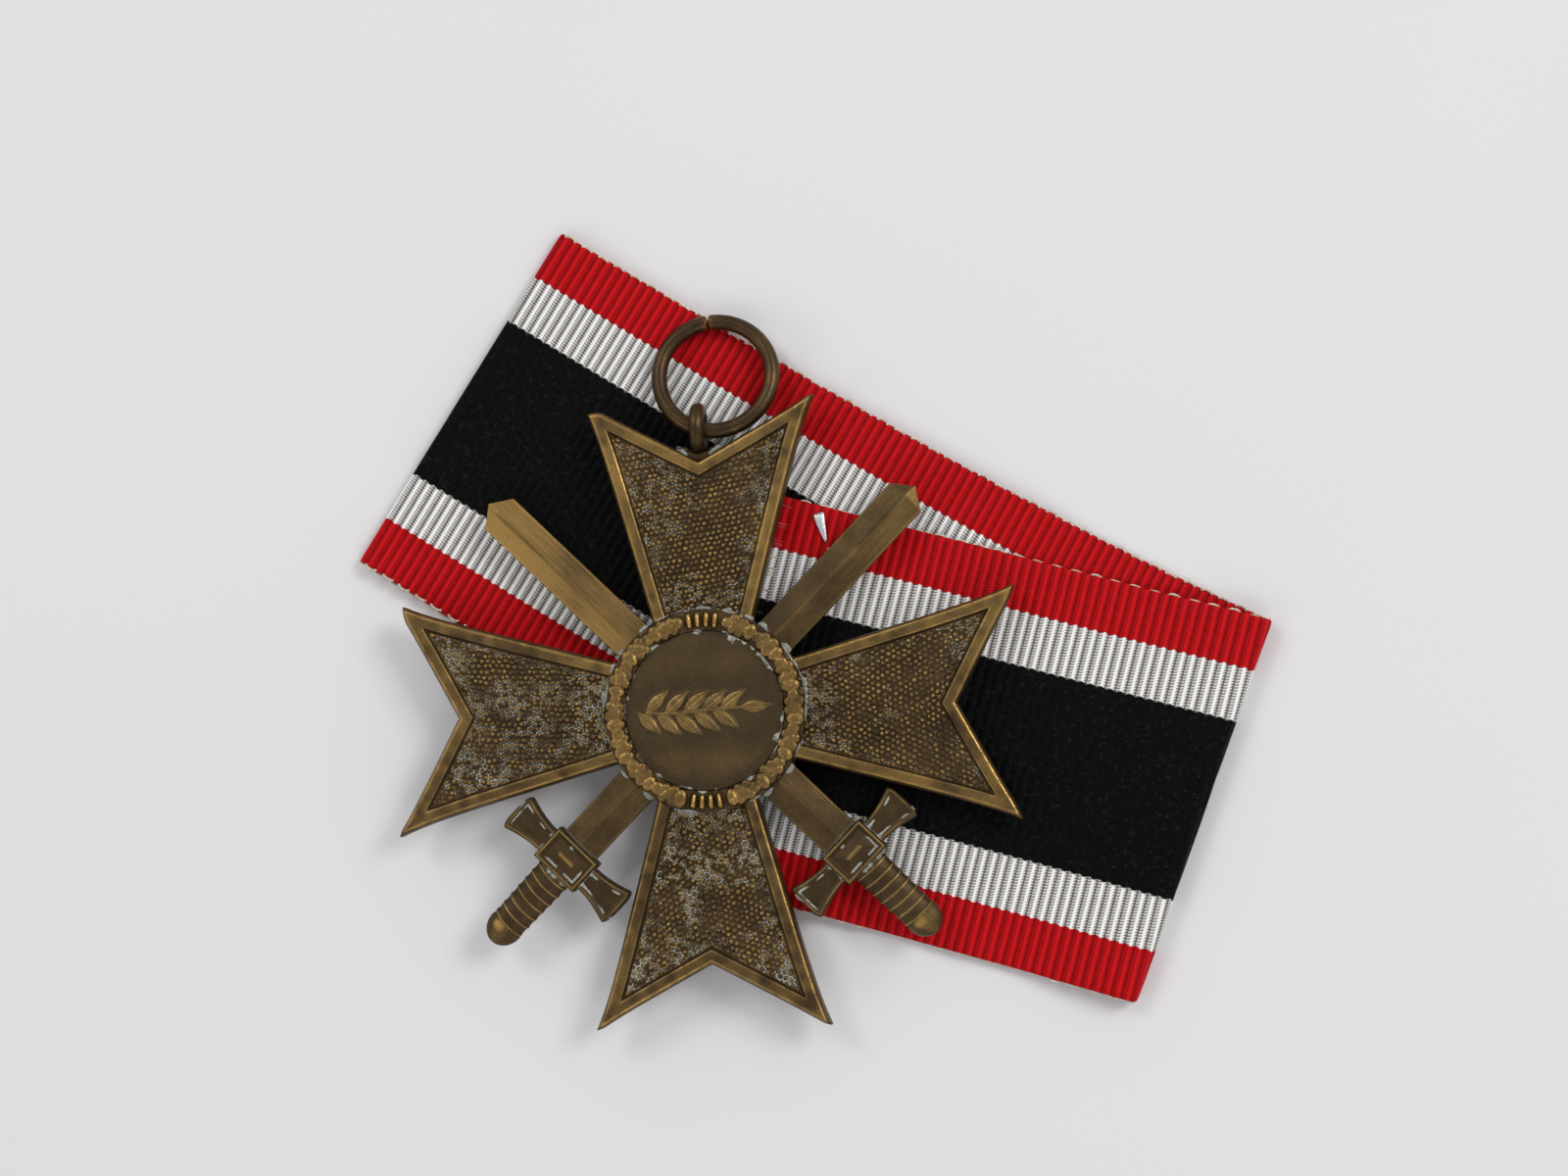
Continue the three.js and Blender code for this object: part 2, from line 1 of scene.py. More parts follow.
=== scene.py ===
"""A bronze service cross with crossed swords, lying on its folded ribbon.

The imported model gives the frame: where each part is and how big it is. The classes below work out the
struck, worn and woven surfaces round it. All sizes are in millimetres until a mesh is written.
"""

import logging
import math
from dataclasses import dataclass, field
from enum import Enum

import bpy
import numpy as np
from mathutils import Matrix, Vector


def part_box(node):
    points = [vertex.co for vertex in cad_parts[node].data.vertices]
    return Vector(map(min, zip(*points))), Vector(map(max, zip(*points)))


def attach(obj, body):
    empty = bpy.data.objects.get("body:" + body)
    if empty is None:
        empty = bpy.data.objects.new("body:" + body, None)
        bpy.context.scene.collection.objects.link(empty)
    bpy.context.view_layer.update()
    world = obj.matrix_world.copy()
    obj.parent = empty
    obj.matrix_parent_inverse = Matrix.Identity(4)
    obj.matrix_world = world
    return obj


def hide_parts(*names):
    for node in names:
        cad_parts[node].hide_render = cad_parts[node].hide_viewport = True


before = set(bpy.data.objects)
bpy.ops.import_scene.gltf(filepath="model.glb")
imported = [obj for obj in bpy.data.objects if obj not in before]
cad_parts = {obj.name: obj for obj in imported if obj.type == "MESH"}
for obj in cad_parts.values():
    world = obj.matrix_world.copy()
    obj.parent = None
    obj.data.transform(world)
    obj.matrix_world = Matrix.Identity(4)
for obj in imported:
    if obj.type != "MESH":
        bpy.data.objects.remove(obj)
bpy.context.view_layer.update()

LOG = logging.getLogger("medal")
MM = 0.001
TURN = 2 * math.pi
ROW_SHARE = math.sqrt(0.75)  # row to row over pebble to pebble, on a staggered lattice
PATCH_TABLE = 64  # random values each way before soft patches repeat
PATCH_START = 500.5  # keeps the lattice places of soft patches above zero
STONE_TABLE = 96  # pebble seeds each way before they repeat
STONE_START = 480.0  # keeps the pebbles' lattice places above zero
STONE_JITTER = 0.22  # how far a pebble's seed strays from its place, in pitches
STONE_RADIUS = 0.66  # radius of a pebble's crown, in pitches
JOINT_REACH = 0.36  # distance difference at which a joint ends, in pitches
FILM_WIDTH = 36.0  # width of the camera's film, in its own millimetres


# ---- small tools ---------------------------------------------------------------------------------


def ease(t: np.ndarray) -> np.ndarray:
    """Eases from 0 to 1 with level ends: 3t^2 - 2t^3."""
    t = np.clip(t, 0.0, 1.0)
    return t * t * (3 - 2 * t)


def bell(x: np.ndarray, centre: float, width: float) -> np.ndarray:
    """A bell curve of height 1: e to the minus square of the offset over the width."""
    return np.exp(-(((x - centre) / width) ** 2))


def turn_about(axis: str, degrees: float) -> np.ndarray:
    """The 3x3 matrix of a turn about one of the frame's axes."""
    return np.array(Matrix.Rotation(math.radians(degrees), 3, axis))


def node_box(node: str) -> tuple[np.ndarray, np.ndarray]:
    """A node's lowest and highest corners, in millimetres."""
    low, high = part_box(node)
    return np.array(low) / MM, np.array(high) / MM


def patchy(x: np.ndarray, y: np.ndarray, size: float, seed: int) -> np.ndarray:
    """Soft random patches from 0 to 1: random values on a square lattice, eased between its points.

    Args:
        x, y: places in millimetres.
        size: the lattice's pitch in millimetres.
        seed: picks the pattern.

    Returns:
        The value at each place.
    """
    lattice = np.random.default_rng(seed).random((PATCH_TABLE, PATCH_TABLE))
    u, v = x / size + PATCH_START, y / size + PATCH_START
    i, j = np.floor(u).astype(int), np.floor(v).astype(int)
    a, b = ease(u - i), ease(v - j)
    corner = [
        lattice[(i + di) % PATCH_TABLE, (j + dj) % PATCH_TABLE]
        for di in (0, 1)
        for dj in (0, 1)
    ]
    return (corner[0] * (1 - a) + corner[2] * a) * (1 - b) + (corner[1] * (1 - a) + corner[3] * a) * b


def pebbles(x: np.ndarray, y: np.ndarray, pitch: float, seed: int) -> tuple[np.ndarray, np.ndarray]:
    """Packed round pebbles on a staggered lattice, every second row moved half a pitch.

    Each lattice place holds one seed point a little off its middle. With d1 and d2 the distances to
    the nearest two points, in pitches, a pebble's height is the root of what is left of a circle about
    its point, cut down where d2 - d1 is small, which is at a joint.

    Args:
        x, y: places in millimetres.
        pitch: the distance from pebble to pebble.
        seed: picks the pattern and its direction.

    Returns:
        The pebble height, from 0 in the joints to 1 on the crowns, and d2 - d1.
    """
    rng = np.random.default_rng(seed)
    offset = rng.uniform(-STONE_JITTER, STONE_JITTER, (STONE_TABLE, STONE_TABLE, 2))
    turn = rng.uniform(0, math.pi)
    u = (x * math.cos(turn) + y * math.sin(turn)) / pitch + STONE_START
    v = (y * math.cos(turn) - x * math.sin(turn)) / pitch / ROW_SHARE + STONE_START
    first = np.full(x.shape, 9.0)
    second = np.full(x.shape, 9.0)
    for row_step in (-1, 0, 1):
        row = np.round(v).astype(int) + row_step
        stagger = 0.5 * (row % 2)
        for column_step in (-1, 0, 1):
            column = np.round(u - stagger).astype(int) + column_step
            point = offset[column % STONE_TABLE, row % STONE_TABLE]
            far = np.hypot(column + stagger + point[..., 0] - u, (row + point[..., 1] - v) * ROW_SHARE)
            second = np.minimum(second, np.maximum(first, far))
            first = np.minimum(first, far)
    crown = np.sqrt(np.clip(1 - (first / STONE_RADIUS) ** 2, 0, 1))
    return crown * ease((second - first) / JOINT_REACH), second - first


class Build:
    """Collects grids and caps, and writes them as one mesh object."""

    def __init__(self, name: str) -> None:
        """Starts an empty piece.

        Args:
            name: the piece's name.
        """
        self.name = name
        self.points: list[np.ndarray] = []
        self.quads: list[np.ndarray] = []
        self.caps: list[np.ndarray] = []
        self.values: dict[str, list[np.ndarray]] = {}
        self.count = 0

    def add_points(self, points: np.ndarray, values: dict[str, np.ndarray]) -> np.ndarray:
        """Adds points with their attribute values.

        Args:
            points: an array whose last axis is x, y, z.
            values: attribute name to an array of the points' shape, or to a number.

        Returns:
            The points' indices, in the points' shape.
        """
        shape = points.shape[:-1]
        size = int(np.prod(shape))
        for name in set(values) | set(self.values):
            store = self.values.setdefault(name, [np.zeros(self.count)] if self.count else [])
            store.append(np.broadcast_to(values.get(name, 0.0), shape).reshape(-1).astype(float))
        self.points.append(points.reshape(-1, 3))
        index = np.arange(self.count, self.count + size).reshape(shape)
        self.count += size
        return index

    def add_quads(self, index: np.ndarray, closed_rows: bool = False, closed_columns: bool = False) -> None:
        """Adds the squares between the rows and columns of an index grid.

        Args:
            index: the grid. Seen from outside, columns run right as rows run up.
            closed_rows: joins the last row to the first.
            closed_columns: joins the last column to the first.
        """
        if closed_rows:
            index = np.concatenate([index, index[:1]])
        if closed_columns:
            index = np.concatenate([index, index[:, :1]], axis=1)
        corners = (index[:-1, :-1], index[:-1, 1:], index[1:, 1:], index[1:, :-1])
        self.quads.append(np.stack([c.reshape(-1) for c in corners], axis=1))

    def add_relief(
        self,
        x: np.ndarray,
        y: np.ndarray,
        z: np.ndarray,
        floor: float,
        values: dict[str, np.ndarray],
        turn: np.ndarray = np.eye(3),
        shift: np.ndarray = np.zeros(3),
    ) -> None:
        """Adds a closed solid under a height field: its top, a wall down its outline, and a flat floor.

        Args:
            x, y, z: the top's grid, rows along +y and columns along +x.
            floor: the level of the floor.
            values: attribute values of the top's points.
            turn: the 3x3 turn that places the piece.
            shift: the move that follows the turn.
        """
        top = np.stack([x, y, z], axis=-1)
        placed = top @ turn.T + shift
        index = self.add_points(placed, values)
        self.add_quads(index)
        rim = np.concatenate([index[0, :], index[1:, -1], index[-1, -2::-1], index[-2:0:-1, 0]])
        flat = {name: np.broadcast_to(v, x.shape).reshape(-1) for name, v in values.items()}
        local = top.reshape(-1, 3)[rim - index[0, 0]]
        rings = [rim]
        for share in (0.85, 0.0):
            ring = local.copy()
            ring[:, 2] = floor + (local[:, 2] - floor) * share
            edge = {name: v[rim - index[0, 0]] for name, v in flat.items()}
            rings.append(self.add_points(ring @ turn.T + shift, edge))
        self.add_quads(np.stack(rings[::-1]), closed_columns=True)
        self.caps.append(rings[-1][::-1])

    def add_tube(
        self,
        path: np.ndarray,
        side: np.ndarray,
        up: np.ndarray,
        values: dict[str, np.ndarray],
        closed: bool = False,
    ) -> None:
        """Adds a tube whose section is given by two vectors at each station.

        A point at angle a of a section is the path's point plus side cos a plus up sin a.

        Args:
            path: the stations, n by 3.
            side, up: n by k by 3, the section's two vectors times cos a and sin a already.
            values: attribute values, n by k.
            closed: joins the last station to the first, else both ends get a flat cap.
        """
        index = self.add_points(path[:, None, :] + side + up, values)
        self.add_quads(index, closed_rows=closed, closed_columns=True)
        if not closed:
            self.caps.append(index[0][::-1])
            self.caps.append(index[-1])

    def finish(self) -> bpy.types.Object:
        """Writes the mesh in metres, with smooth faces and flat caps.

        Returns:
            The new object, linked to the scene.
        """
        points = np.concatenate(self.points) * MM
        quads = np.concatenate(self.quads)
        rings = [quads.reshape(-1)] + self.caps
        totals = np.concatenate([np.full(len(quads), 4), [len(c) for c in self.caps]]).astype(np.int32)
        corners = np.concatenate(rings).astype(np.int32)
        starts = np.concatenate([[0], np.cumsum(totals)[:-1]]).astype(np.int32)
        mesh = bpy.data.meshes.new(self.name)
        mesh.vertices.add(len(points))
        mesh.vertices.foreach_set("co", points.astype(np.float32).reshape(-1))
        mesh.loops.add(len(corners))
        mesh.loops.foreach_set("vertex_index", corners)
        mesh.polygons.add(len(totals))
        mesh.polygons.foreach_set("loop_start", starts)
        smooth = np.arange(len(totals)) < len(quads)
        mesh.polygons.foreach_set("use_smooth", smooth)
        mesh.update(calc_edges=True)
        for name, store in self.values.items():
            layer = mesh.attributes.new(name, "FLOAT", "POINT")
            layer.data.foreach_set("value", np.concatenate(store).astype(np.float32))
        mesh.validate()
        piece = bpy.data.objects.new(self.name, mesh)
        bpy.context.scene.collection.objects.link(piece)
        return piece


def round_section(
    path: np.ndarray,
    side: np.ndarray,
    up: np.ndarray,
    radius: np.ndarray,
    steps: int,
) -> tuple[np.ndarray, np.ndarray]:
    """Section vectors of a round wire along a path.

    Args:
        path: n by 3 stations.
        side, up: n by 3 unit vectors across the path.
        radius: the wire's radius, a number or one for each station.
        steps: points round the section.

    Returns:
        The side and up arrays that Build.add_tube takes.
    """
    angle = np.arange(steps) * TURN / steps
    size = np.broadcast_to(radius, len(path))[:, None, None]
    across = size * side[:, None, :] * np.cos(angle)[None, :, None]
    upwards = size * up[:, None, :] * np.sin(angle)[None, :, None]
    return across, upwards


def dress(
    piece: bpy.types.Object,
    finish: bpy.types.Material,
    body: str,
    nodes: tuple[str, ...] = (),
) -> None:
    """Gives a piece its finish and body, hides the plain parts that it stands for, and logs its face count.

    Args:
        piece: the finished piece.
        finish: its material.
        body: the body that it rides on.
        nodes: the plain parts that it replaces.
    """
    piece.data.materials.append(finish)
    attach(piece, body)
    if nodes:
        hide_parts(*nodes)
    LOG.info("%s: %d faces on %s", piece.name, len(piece.data.polygons), body)


# ---- finishes ------------------------------------------------------------------------------------


class Shader:
    """A material's node tree with short calls for the few nodes it needs."""

    def __init__(self, name: str) -> None:
        """Makes the material and keeps its main shader.

        Args:
            name: the material's name.
        """
        self.material = bpy.data.materials.new(name)
        self.material.use_nodes = True
        self.tree = self.material.node_tree
        self.main = self.tree.nodes["Principled BSDF"]

    def put(self, name: str, value: object) -> None:
        """Sets or links one of the main shader's sockets."""
        self.feed(self.main.inputs[name], value)

    def feed(self, socket: bpy.types.NodeSocket, value: object) -> None:
        """Links a socket to another node's output, or sets its value.

        Args:
            socket: the socket to fill.
            value: an output, or a plain value.
        """
        if isinstance(value, bpy.types.NodeSocket):
            self.tree.links.new(value, socket)
        else:
            socket.default_value = value

    def place(self) -> bpy.types.NodeSocket:
        """Object coordinates in millimetres.

        Returns:
            The place as a vector.
        """
        coords = self.tree.nodes.new("ShaderNodeTexCoord")
        scale = self.tree.nodes.new("ShaderNodeVectorMath")
        scale.operation = "SCALE"
        scale.inputs["Scale"].default_value = 1 / MM
        self.tree.links.new(coords.outputs["Object"], scale.inputs[0])
        return scale.outputs[0]

    def value(self, name: str) -> bpy.types.NodeSocket:
        """A piece's own attribute.

        Args:
            name: the attribute's name.

        Returns:
            Its value.
        """
        node = self.tree.nodes.new("ShaderNodeAttribute")
        node.attribute_name = name
        return node.outputs["Fac"]

    def math(self, operation: str, a: object, b: object = 0.0, clamp: bool = False) -> bpy.types.NodeSocket:
        """One arithmetic step.

        Args:
            operation: the node's operation.
            a, b: its two inputs.
            clamp: keeps the result from 0 to 1.

        Returns:
            The result.
        """
        node = self.tree.nodes.new("ShaderNodeMath")
        node.operation = operation
        node.use_clamp = clamp
        self.feed(node.inputs[0], a)
        self.feed(node.inputs[1], b)
        return node.outputs[0]

    def between(self, value: object, low: float, high: float) -> bpy.types.NodeSocket:
        """Eases from 0 at low to 1 at high.

        Args:
            value: what to read.
            low, high: where the rise starts and ends.

        Returns:
            The share, from 0 to 1.
        """
        node = self.tree.nodes.new("ShaderNodeMapRange")
        node.interpolation_type = "SMOOTHSTEP"
        self.feed(node.inputs["Value"], value)
        node.inputs["From Min"].default_value = low
        node.inputs["From Max"].default_value = high
        return node.outputs["Result"]

    def noise(
        self,
        place: object,
        scale: float,
        detail: float = 3.0,
        rough: float = 0.55,
    ) -> bpy.types.NodeSocket:
        """Fractal noise, scale in cycles for each millimetre.

        Args:
            place: where to read it.
            scale: cycles for each millimetre.
            detail: how many finer layers are added.
            rough: how strong each finer layer is.

        Returns:
            The noise, from 0 to 1.
        """
        node = self.tree.nodes.new("ShaderNodeTexNoise")
        self.feed(node.inputs["Vector"], place)
        node.inputs["Scale"].default_value = scale
        node.inputs["Detail"].default_value = detail
        node.inputs["Roughness"].default_value = rough
        return node.outputs["Fac"]

    def stretched(self, place: object, angle: float, ratio: float) -> bpy.types.NodeSocket:
        """Stretches a pattern along a heading on the table, by a ratio, so that it runs as streaks.

        Args:
            place: the unstretched place.
            angle: the heading in degrees.
            ratio: how many times longer the pattern gets.

        Returns:
            The place to read the pattern at.
        """
        node = self.tree.nodes.new("ShaderNodeMapping")
        node.vector_type = "TEXTURE"
        self.feed(node.inputs["Vector"], place)
        node.inputs["Rotation"].default_value = (0, 0, math.radians(angle))
        node.inputs["Scale"].default_value = (ratio, 1, 1)
        return node.outputs[0]

    def mix(self, factor: object, a: object, b: object) -> bpy.types.NodeSocket:
        """Mixes two colours.

        Args:
            factor: the share of the second colour.
            a, b: the two colours, each an output or a plain colour.

        Returns:
            The mixed colour.
        """
        node = self.tree.nodes.new("ShaderNodeMix")
        node.data_type = "RGBA"
        self.feed(node.inputs[0], factor)
        self.feed(node.inputs[6], (*a, 1.0) if isinstance(a, tuple) else a)
        self.feed(node.inputs[7], (*b, 1.0) if isinstance(b, tuple) else b)
        return node.outputs[2]

    def bump(self, height: object, depth: float) -> None:
        """Bumps the main shader's normal by a height of 0 to 1 over a depth in millimetres.

        Args:
            height: the height, from 0 to 1.
            depth: the depth in millimetres.
        """
        node = self.tree.nodes.new("ShaderNodeBump")
        node.inputs["Distance"].default_value = depth * MM
        self.feed(node.inputs["Height"], height)
        self.put("Normal", node.outputs[0])


Colour = tuple[float, float, float]


@dataclass(frozen=True)
class AgedBronze:
    """Brown bronze, rubbed to gold on its high points, with pale deposit in its corners. Its gold also serves
    as painted highlight and its dark browns as painted shade.
    """

    name: str
    dark: Colour = (0.034, 0.021, 0.010)
    brown: Colour = (0.125, 0.078, 0.031)
    gold: Colour = (0.46, 0.285, 0.088)
    deposit: Colour = (0.46, 0.48, 0.42)
    deposit_shade: Colour = (0.22, 0.22, 0.19)
    shine: float = 0.27
    streak_angle: float = 0.0
    streak_length: float = 1.0
    streaks: float = 0.10
    pits: float = 0.6

    def material(self) -> bpy.types.Material:
        """Mixes dark, brown, gold and deposit by the wear and grime attributes and by noise.

        Returns:
            The material.
        """
        s = Shader(self.name)
        place = s.place()
        cloud = s.noise(place, 0.30, 4.0, 0.6)
        fine = s.noise(place, 7.0, 3.0, 0.7)
        grain = s.noise(place, 15.0, 2.0, 0.6)
        streak = s.noise(s.stretched(place, self.streak_angle, self.streak_length), 5.0, 3.0, 0.6)
        tone = s.math("ADD", s.math("MULTIPLY", cloud, 0.6), s.math("MULTIPLY", fine, 0.4))
        # The attribute read here holds rubbed metal together with painted highlights and painted shade, so
        # the brown mix and the gold share named worn below carry painted light as well.
        shaded = s.math("ADD", tone, s.math("MULTIPLY", s.value("wear"), 0.35))
        base = s.mix(s.between(shaded, 0.24, 0.80), self.dark, self.brown)
        worn = s.math("ADD", s.value("wear"), s.math("MULTIPLY", s.math("SUBTRACT", tone, 0.5), 0.45))
        worn = s.math("ADD", worn, s.math("MULTIPLY", s.math("SUBTRACT", streak, 0.5), self.streaks))
        worn = s.between(worn, 0.0, 1.0)
        metal = s.mix(worn, base, self.gold)
        pit = s.between(s.noise(place, 4.2, 3.0, 0.75), 0.575, 0.67)
        metal = s.mix(s.math("MULTIPLY", pit, self.pits), metal, self.dark)
        crust = s.math("ADD", s.value("grime"), s.math("MULTIPLY", s.math("SUBTRACT", grain, 0.5), 0.6))
        crust = s.between(crust, 0.40, 0.68)
        salts = s.mix(s.between(fine, 0.36, 0.60), self.deposit_shade, self.deposit)
        s.put("Base Color", s.mix(crust, metal, salts))
        bare = s.math("ADD", 0.80, s.math("MULTIPLY", worn, 0.19))
        s.put("Metallic", s.math("MULTIPLY", s.math("SUBTRACT", 1.0, crust), bare))
        rough = s.math("ADD", self.shine, s.math("MULTIPLY", s.math("SUBTRACT", 1.0, worn), 0.10))
        rough = s.math("ADD", rough, s.math("MULTIPLY", fine, 0.12))
        s.put("Roughness", s.math("ADD", rough, s.math("MULTIPLY", crust, 0.4), True))
        height = s.math("ADD", s.math("MULTIPLY", fine, 0.5), s.math("MULTIPLY", streak, 0.3))
        height = s.math("SUBTRACT", height, s.math("MULTIPLY", pit, 0.7 * self.pits))
        s.bump(s.math("ADD", height, s.math("MULTIPLY", crust, 0.7)), 0.03)
        return s.material


@dataclass(frozen=True)
class RibbedCloth:
    """Ribbed silk ribbon in five stripes, coloured by where a point is on the cloth itself."""

    name: str = "ribbed_silk"
    rib_pitch: float = 0.755
    thread_pitch: float = 0.22
    crest_phase: float = 0.40
    red: Colour = (0.60, 0.007, 0.010)
    red_shade: Colour = (0.20, 0.001, 0.003)
    white: Colour = (0.93, 0.92, 0.89)
    white_shade: Colour = (0.125, 0.113, 0.10)
    black: Colour = (0.0016, 0.0018, 0.0018)
    black_shade: Colour = (0.016, 0.017, 0.018)
    inner_edge: float = 7.0
    outer_edge: float = 11.0

    def material(self) -> bpy.types.Material:
        """Stripes by the across attribute, ribs and twisted threads by both.

        Over one rib the phase runs from 0 to 1. Its first third is the bright crest cord, and the rest
        is a slope crossed by slanting threads with slits between them. The slope, the slits and the
        groove between ribs are darkened with painted shade, which noise varies.

        Returns:
            The material.
        """
        s = Shader(self.name)
        along = s.math("DIVIDE", s.value("along"), self.rib_pitch)
        across = s.value("across")
        phase = s.math("FRACT", s.math("ADD", along, 0.5 - self.crest_phase))
        from_crest = s.math("MULTIPLY", s.math("ABSOLUTE", s.math("SUBTRACT", phase, 0.5)), 2.0)
        cord = s.math("SUBTRACT", 1.0, s.between(from_crest, 0.22, 0.38))
        # Painted shade in the groove between two ribs.
        groove = s.between(s.math("ABSOLUTE", s.math("SUBTRACT", s.math("FRACT", along), 0.5)), 0.36, 0.50)
        distance = s.math("ABSOLUTE", across)
        distance = s.math("ADD", distance, s.math("MULTIPLY", s.math("SUBTRACT", from_crest, 0.5), 0.16))
        inside = s.between(distance, self.inner_edge - 0.05, self.inner_edge + 0.05)
        red = s.between(distance, self.outer_edge - 0.05, self.outer_edge + 0.05)
        white = s.math("SUBTRACT", inside, red)
        slant = s.math("ADD", s.math("DIVIDE", across, self.thread_pitch), s.math("MULTIPLY", phase, 1.4))
        thread = s.math("MULTIPLY", s.math("ABSOLUTE", s.math("SUBTRACT", s.math("FRACT", slant), 0.5)), 2.0)
        uneven = s.noise(s.place(), 2.2, 2.0)
        # Painted shade in the slits between the slanting threads, on the slope off the cord.
        slit = s.math("MULTIPLY", s.math("SUBTRACT", 1.0, cord), s.between(thread, 0.30, 0.70))
        shade = s.math("ADD", s.math("MULTIPLY", slit, 0.62), s.math("MULTIPLY", groove, 0.80), True)
        shade = s.math("MULTIPLY", shade, s.math("ADD", 0.7, s.math("MULTIPLY", uneven, 0.6)), True)
        # Painted shade on the white's slope off the cord.
        slope_shade = s.math("MULTIPLY", s.math("SUBTRACT", 1.0, cord), 0.20)
        white_colour = s.mix(s.math("ADD", shade, slope_shade, True), self.white, self.white_shade)
        # Painted shade on the red's slope and in its grooves, varied by noise.
        soft = s.math("MULTIPLY", s.math("SUBTRACT", 1.0, cord), 0.45)
        soft = s.math("ADD", soft, s.math("MULTIPLY", groove, 0.5))
        soft = s.math("ADD", soft, s.math("MULTIPLY", s.math("SUBTRACT", uneven, 0.5), 0.5), True)
        red_colour = s.mix(soft, self.red, self.red_shade)
        speck = s.math("MULTIPLY", slit, s.between(uneven, 0.5, 0.7))
        black_colour = s.mix(speck, self.black, self.black_shade)
        s.put("Base Color", s.mix(red, s.mix(white, black_colour, white_colour), red_colour))
        s.put("Roughness", s.math("ADD", 0.58, s.math("MULTIPLY", white, 0.1)))
        s.main.inputs["Specular IOR Level"].default_value = 0.07
        s.bump(s.math("SUBTRACT", 1.0, s.math("MULTIPLY", slit, 0.8)), 0.04)
        return s.material


@dataclass(frozen=True)
class LooseThread:
    """Spun yarn of one colour, with a little unevenness along it."""

    name: str
    colour: Colour
    shade: Colour

    def material(self) -> bpy.types.Material:
        """Mixes the colour with its shade by fine noise.

        Returns:
            The material.
        """
        s = Shader(self.name)
        twist = s.noise(s.place(), 6.0, 2.0)
        s.put("Base Color", s.mix(s.between(twist, 0.35, 0.65), self.shade, self.colour))
        s.put("Roughness", s.math("ADD", 0.6, s.math("MULTIPLY", twist, 0.2)))
        s.bump(twist, 0.02)
        return s.material


@dataclass(frozen=True)
class BrightSteel:
    """Plated wire with drawn scratches."""

    name: str = "bright_steel"

    def material(self) -> bpy.types.Material:
        """Bright metal, scratched along the wire.

        Returns:
            The material.
        """
        s = Shader(self.name)
        streak = s.noise(s.stretched(s.place(), -76, 0.1), 9.0, 3.0)
        s.put("Base Color", s.mix(streak, (0.62, 0.63, 0.66), (0.86, 0.87, 0.90)))
        s.main.inputs["Metallic"].default_value = 1.0
        s.put("Roughness", s.math("ADD", 0.2, s.math("MULTIPLY", streak, 0.2)))
        s.bump(streak, 0.01)
        return s.material


@dataclass(frozen=True)
class PaleTable:
    """Matt pale grey table top."""

    name: str = "pale_top"
    colour: Colour = (0.80, 0.795, 0.80)

    def material(self) -> bpy.types.Material:
        """Almost even grey, with faint cloudy patches.

        Returns:
            The material.
        """
        s = Shader(self.name)
        cloud = s.noise(s.place(), 0.02, 3.0)
        shade = tuple(c * 0.975 for c in self.colour)
        s.put("Base Color", s.mix(cloud, shade, self.colour))
        s.main.inputs["Roughness"].default_value = 0.75
        s.main.inputs["Specular IOR Level"].default_value = 0.2
        return s.material


class Finish(Enum):
    """The finishes that the pieces choose from."""

    PLATE = AgedBronze("struck_bronze")
    # The wreath's gold also shows painted highlights along its lobe outlines.
    WREATH = AgedBronze("rubbed_and_glinting_bronze", brown=(0.135, 0.082, 0.030), gold=(0.50, 0.31, 0.095), shine=0.20)
    DISC = AgedBronze("smooth_bronze", dark=(0.060, 0.039, 0.018), brown=(0.105, 0.070, 0.032))
    SWORD_RISING = AgedBronze(
        "blade_bronze_rising",
        brown=(0.115, 0.072, 0.028),
        shine=0.36,
        streak_angle=45.0,
        streak_length=14.0,
        streaks=0.4,
        pits=0.25,
    )
    SWORD_FALLING = AgedBronze(
        "blade_bronze_falling",
        shine=0.32,
        streak_angle=135.0,
        streak_length=14.0,
        streaks=0.5,
        pits=0.3,
    )
    WIRE = AgedBronze(
        "drawn_bronze",
        brown=(0.095, 0.056, 0.022),
        gold=(0.34, 0.205, 0.068),
        shine=0.19,
        pits=0.4,
    )
    CLOTH = RibbedCloth()
    CREAM = LooseThread("cream_thread", (0.72, 0.66, 0.55), (0.45, 0.38, 0.29))
    RED = LooseThread("red_thread", (0.60, 0.03, 0.04), (0.30, 0.01, 0.012))
    PINK = LooseThread("pink_fibre", (0.62, 0.30, 0.30), (0.50, 0.18, 0.18))
    BLACK = LooseThread("black_thread", (0.012, 0.012, 0.014), (0.004, 0.004, 0.005))
    STEEL = BrightSteel()
    TABLE = PaleTable()

    def made(self) -> bpy.types.Material:
        """The finish's material, made once."""
        return bpy.data.materials.get(self.value.name) or self.value.material()


# ---- cross plate ---------------------------------------------------------------------------------


class Arm(Enum):
    """The cross's arms: quarter turns from the top, cut of the two tips, how rubbed and how crusted."""

    TOP = (0, 1.05, 0.05, 1.0, 0.55)
    LEFT = (1, 0.0, 0.60, 0.72, 0.80)
    BOTTOM = (2, 0.10, 0.0, 0.55, 1.05)
    RIGHT = (3, 0.25, 0.20, 0.80, 0.55)

    @property
    def label(self) -> str:
        """The arm's name in lower case."""
        return self.name.lower()


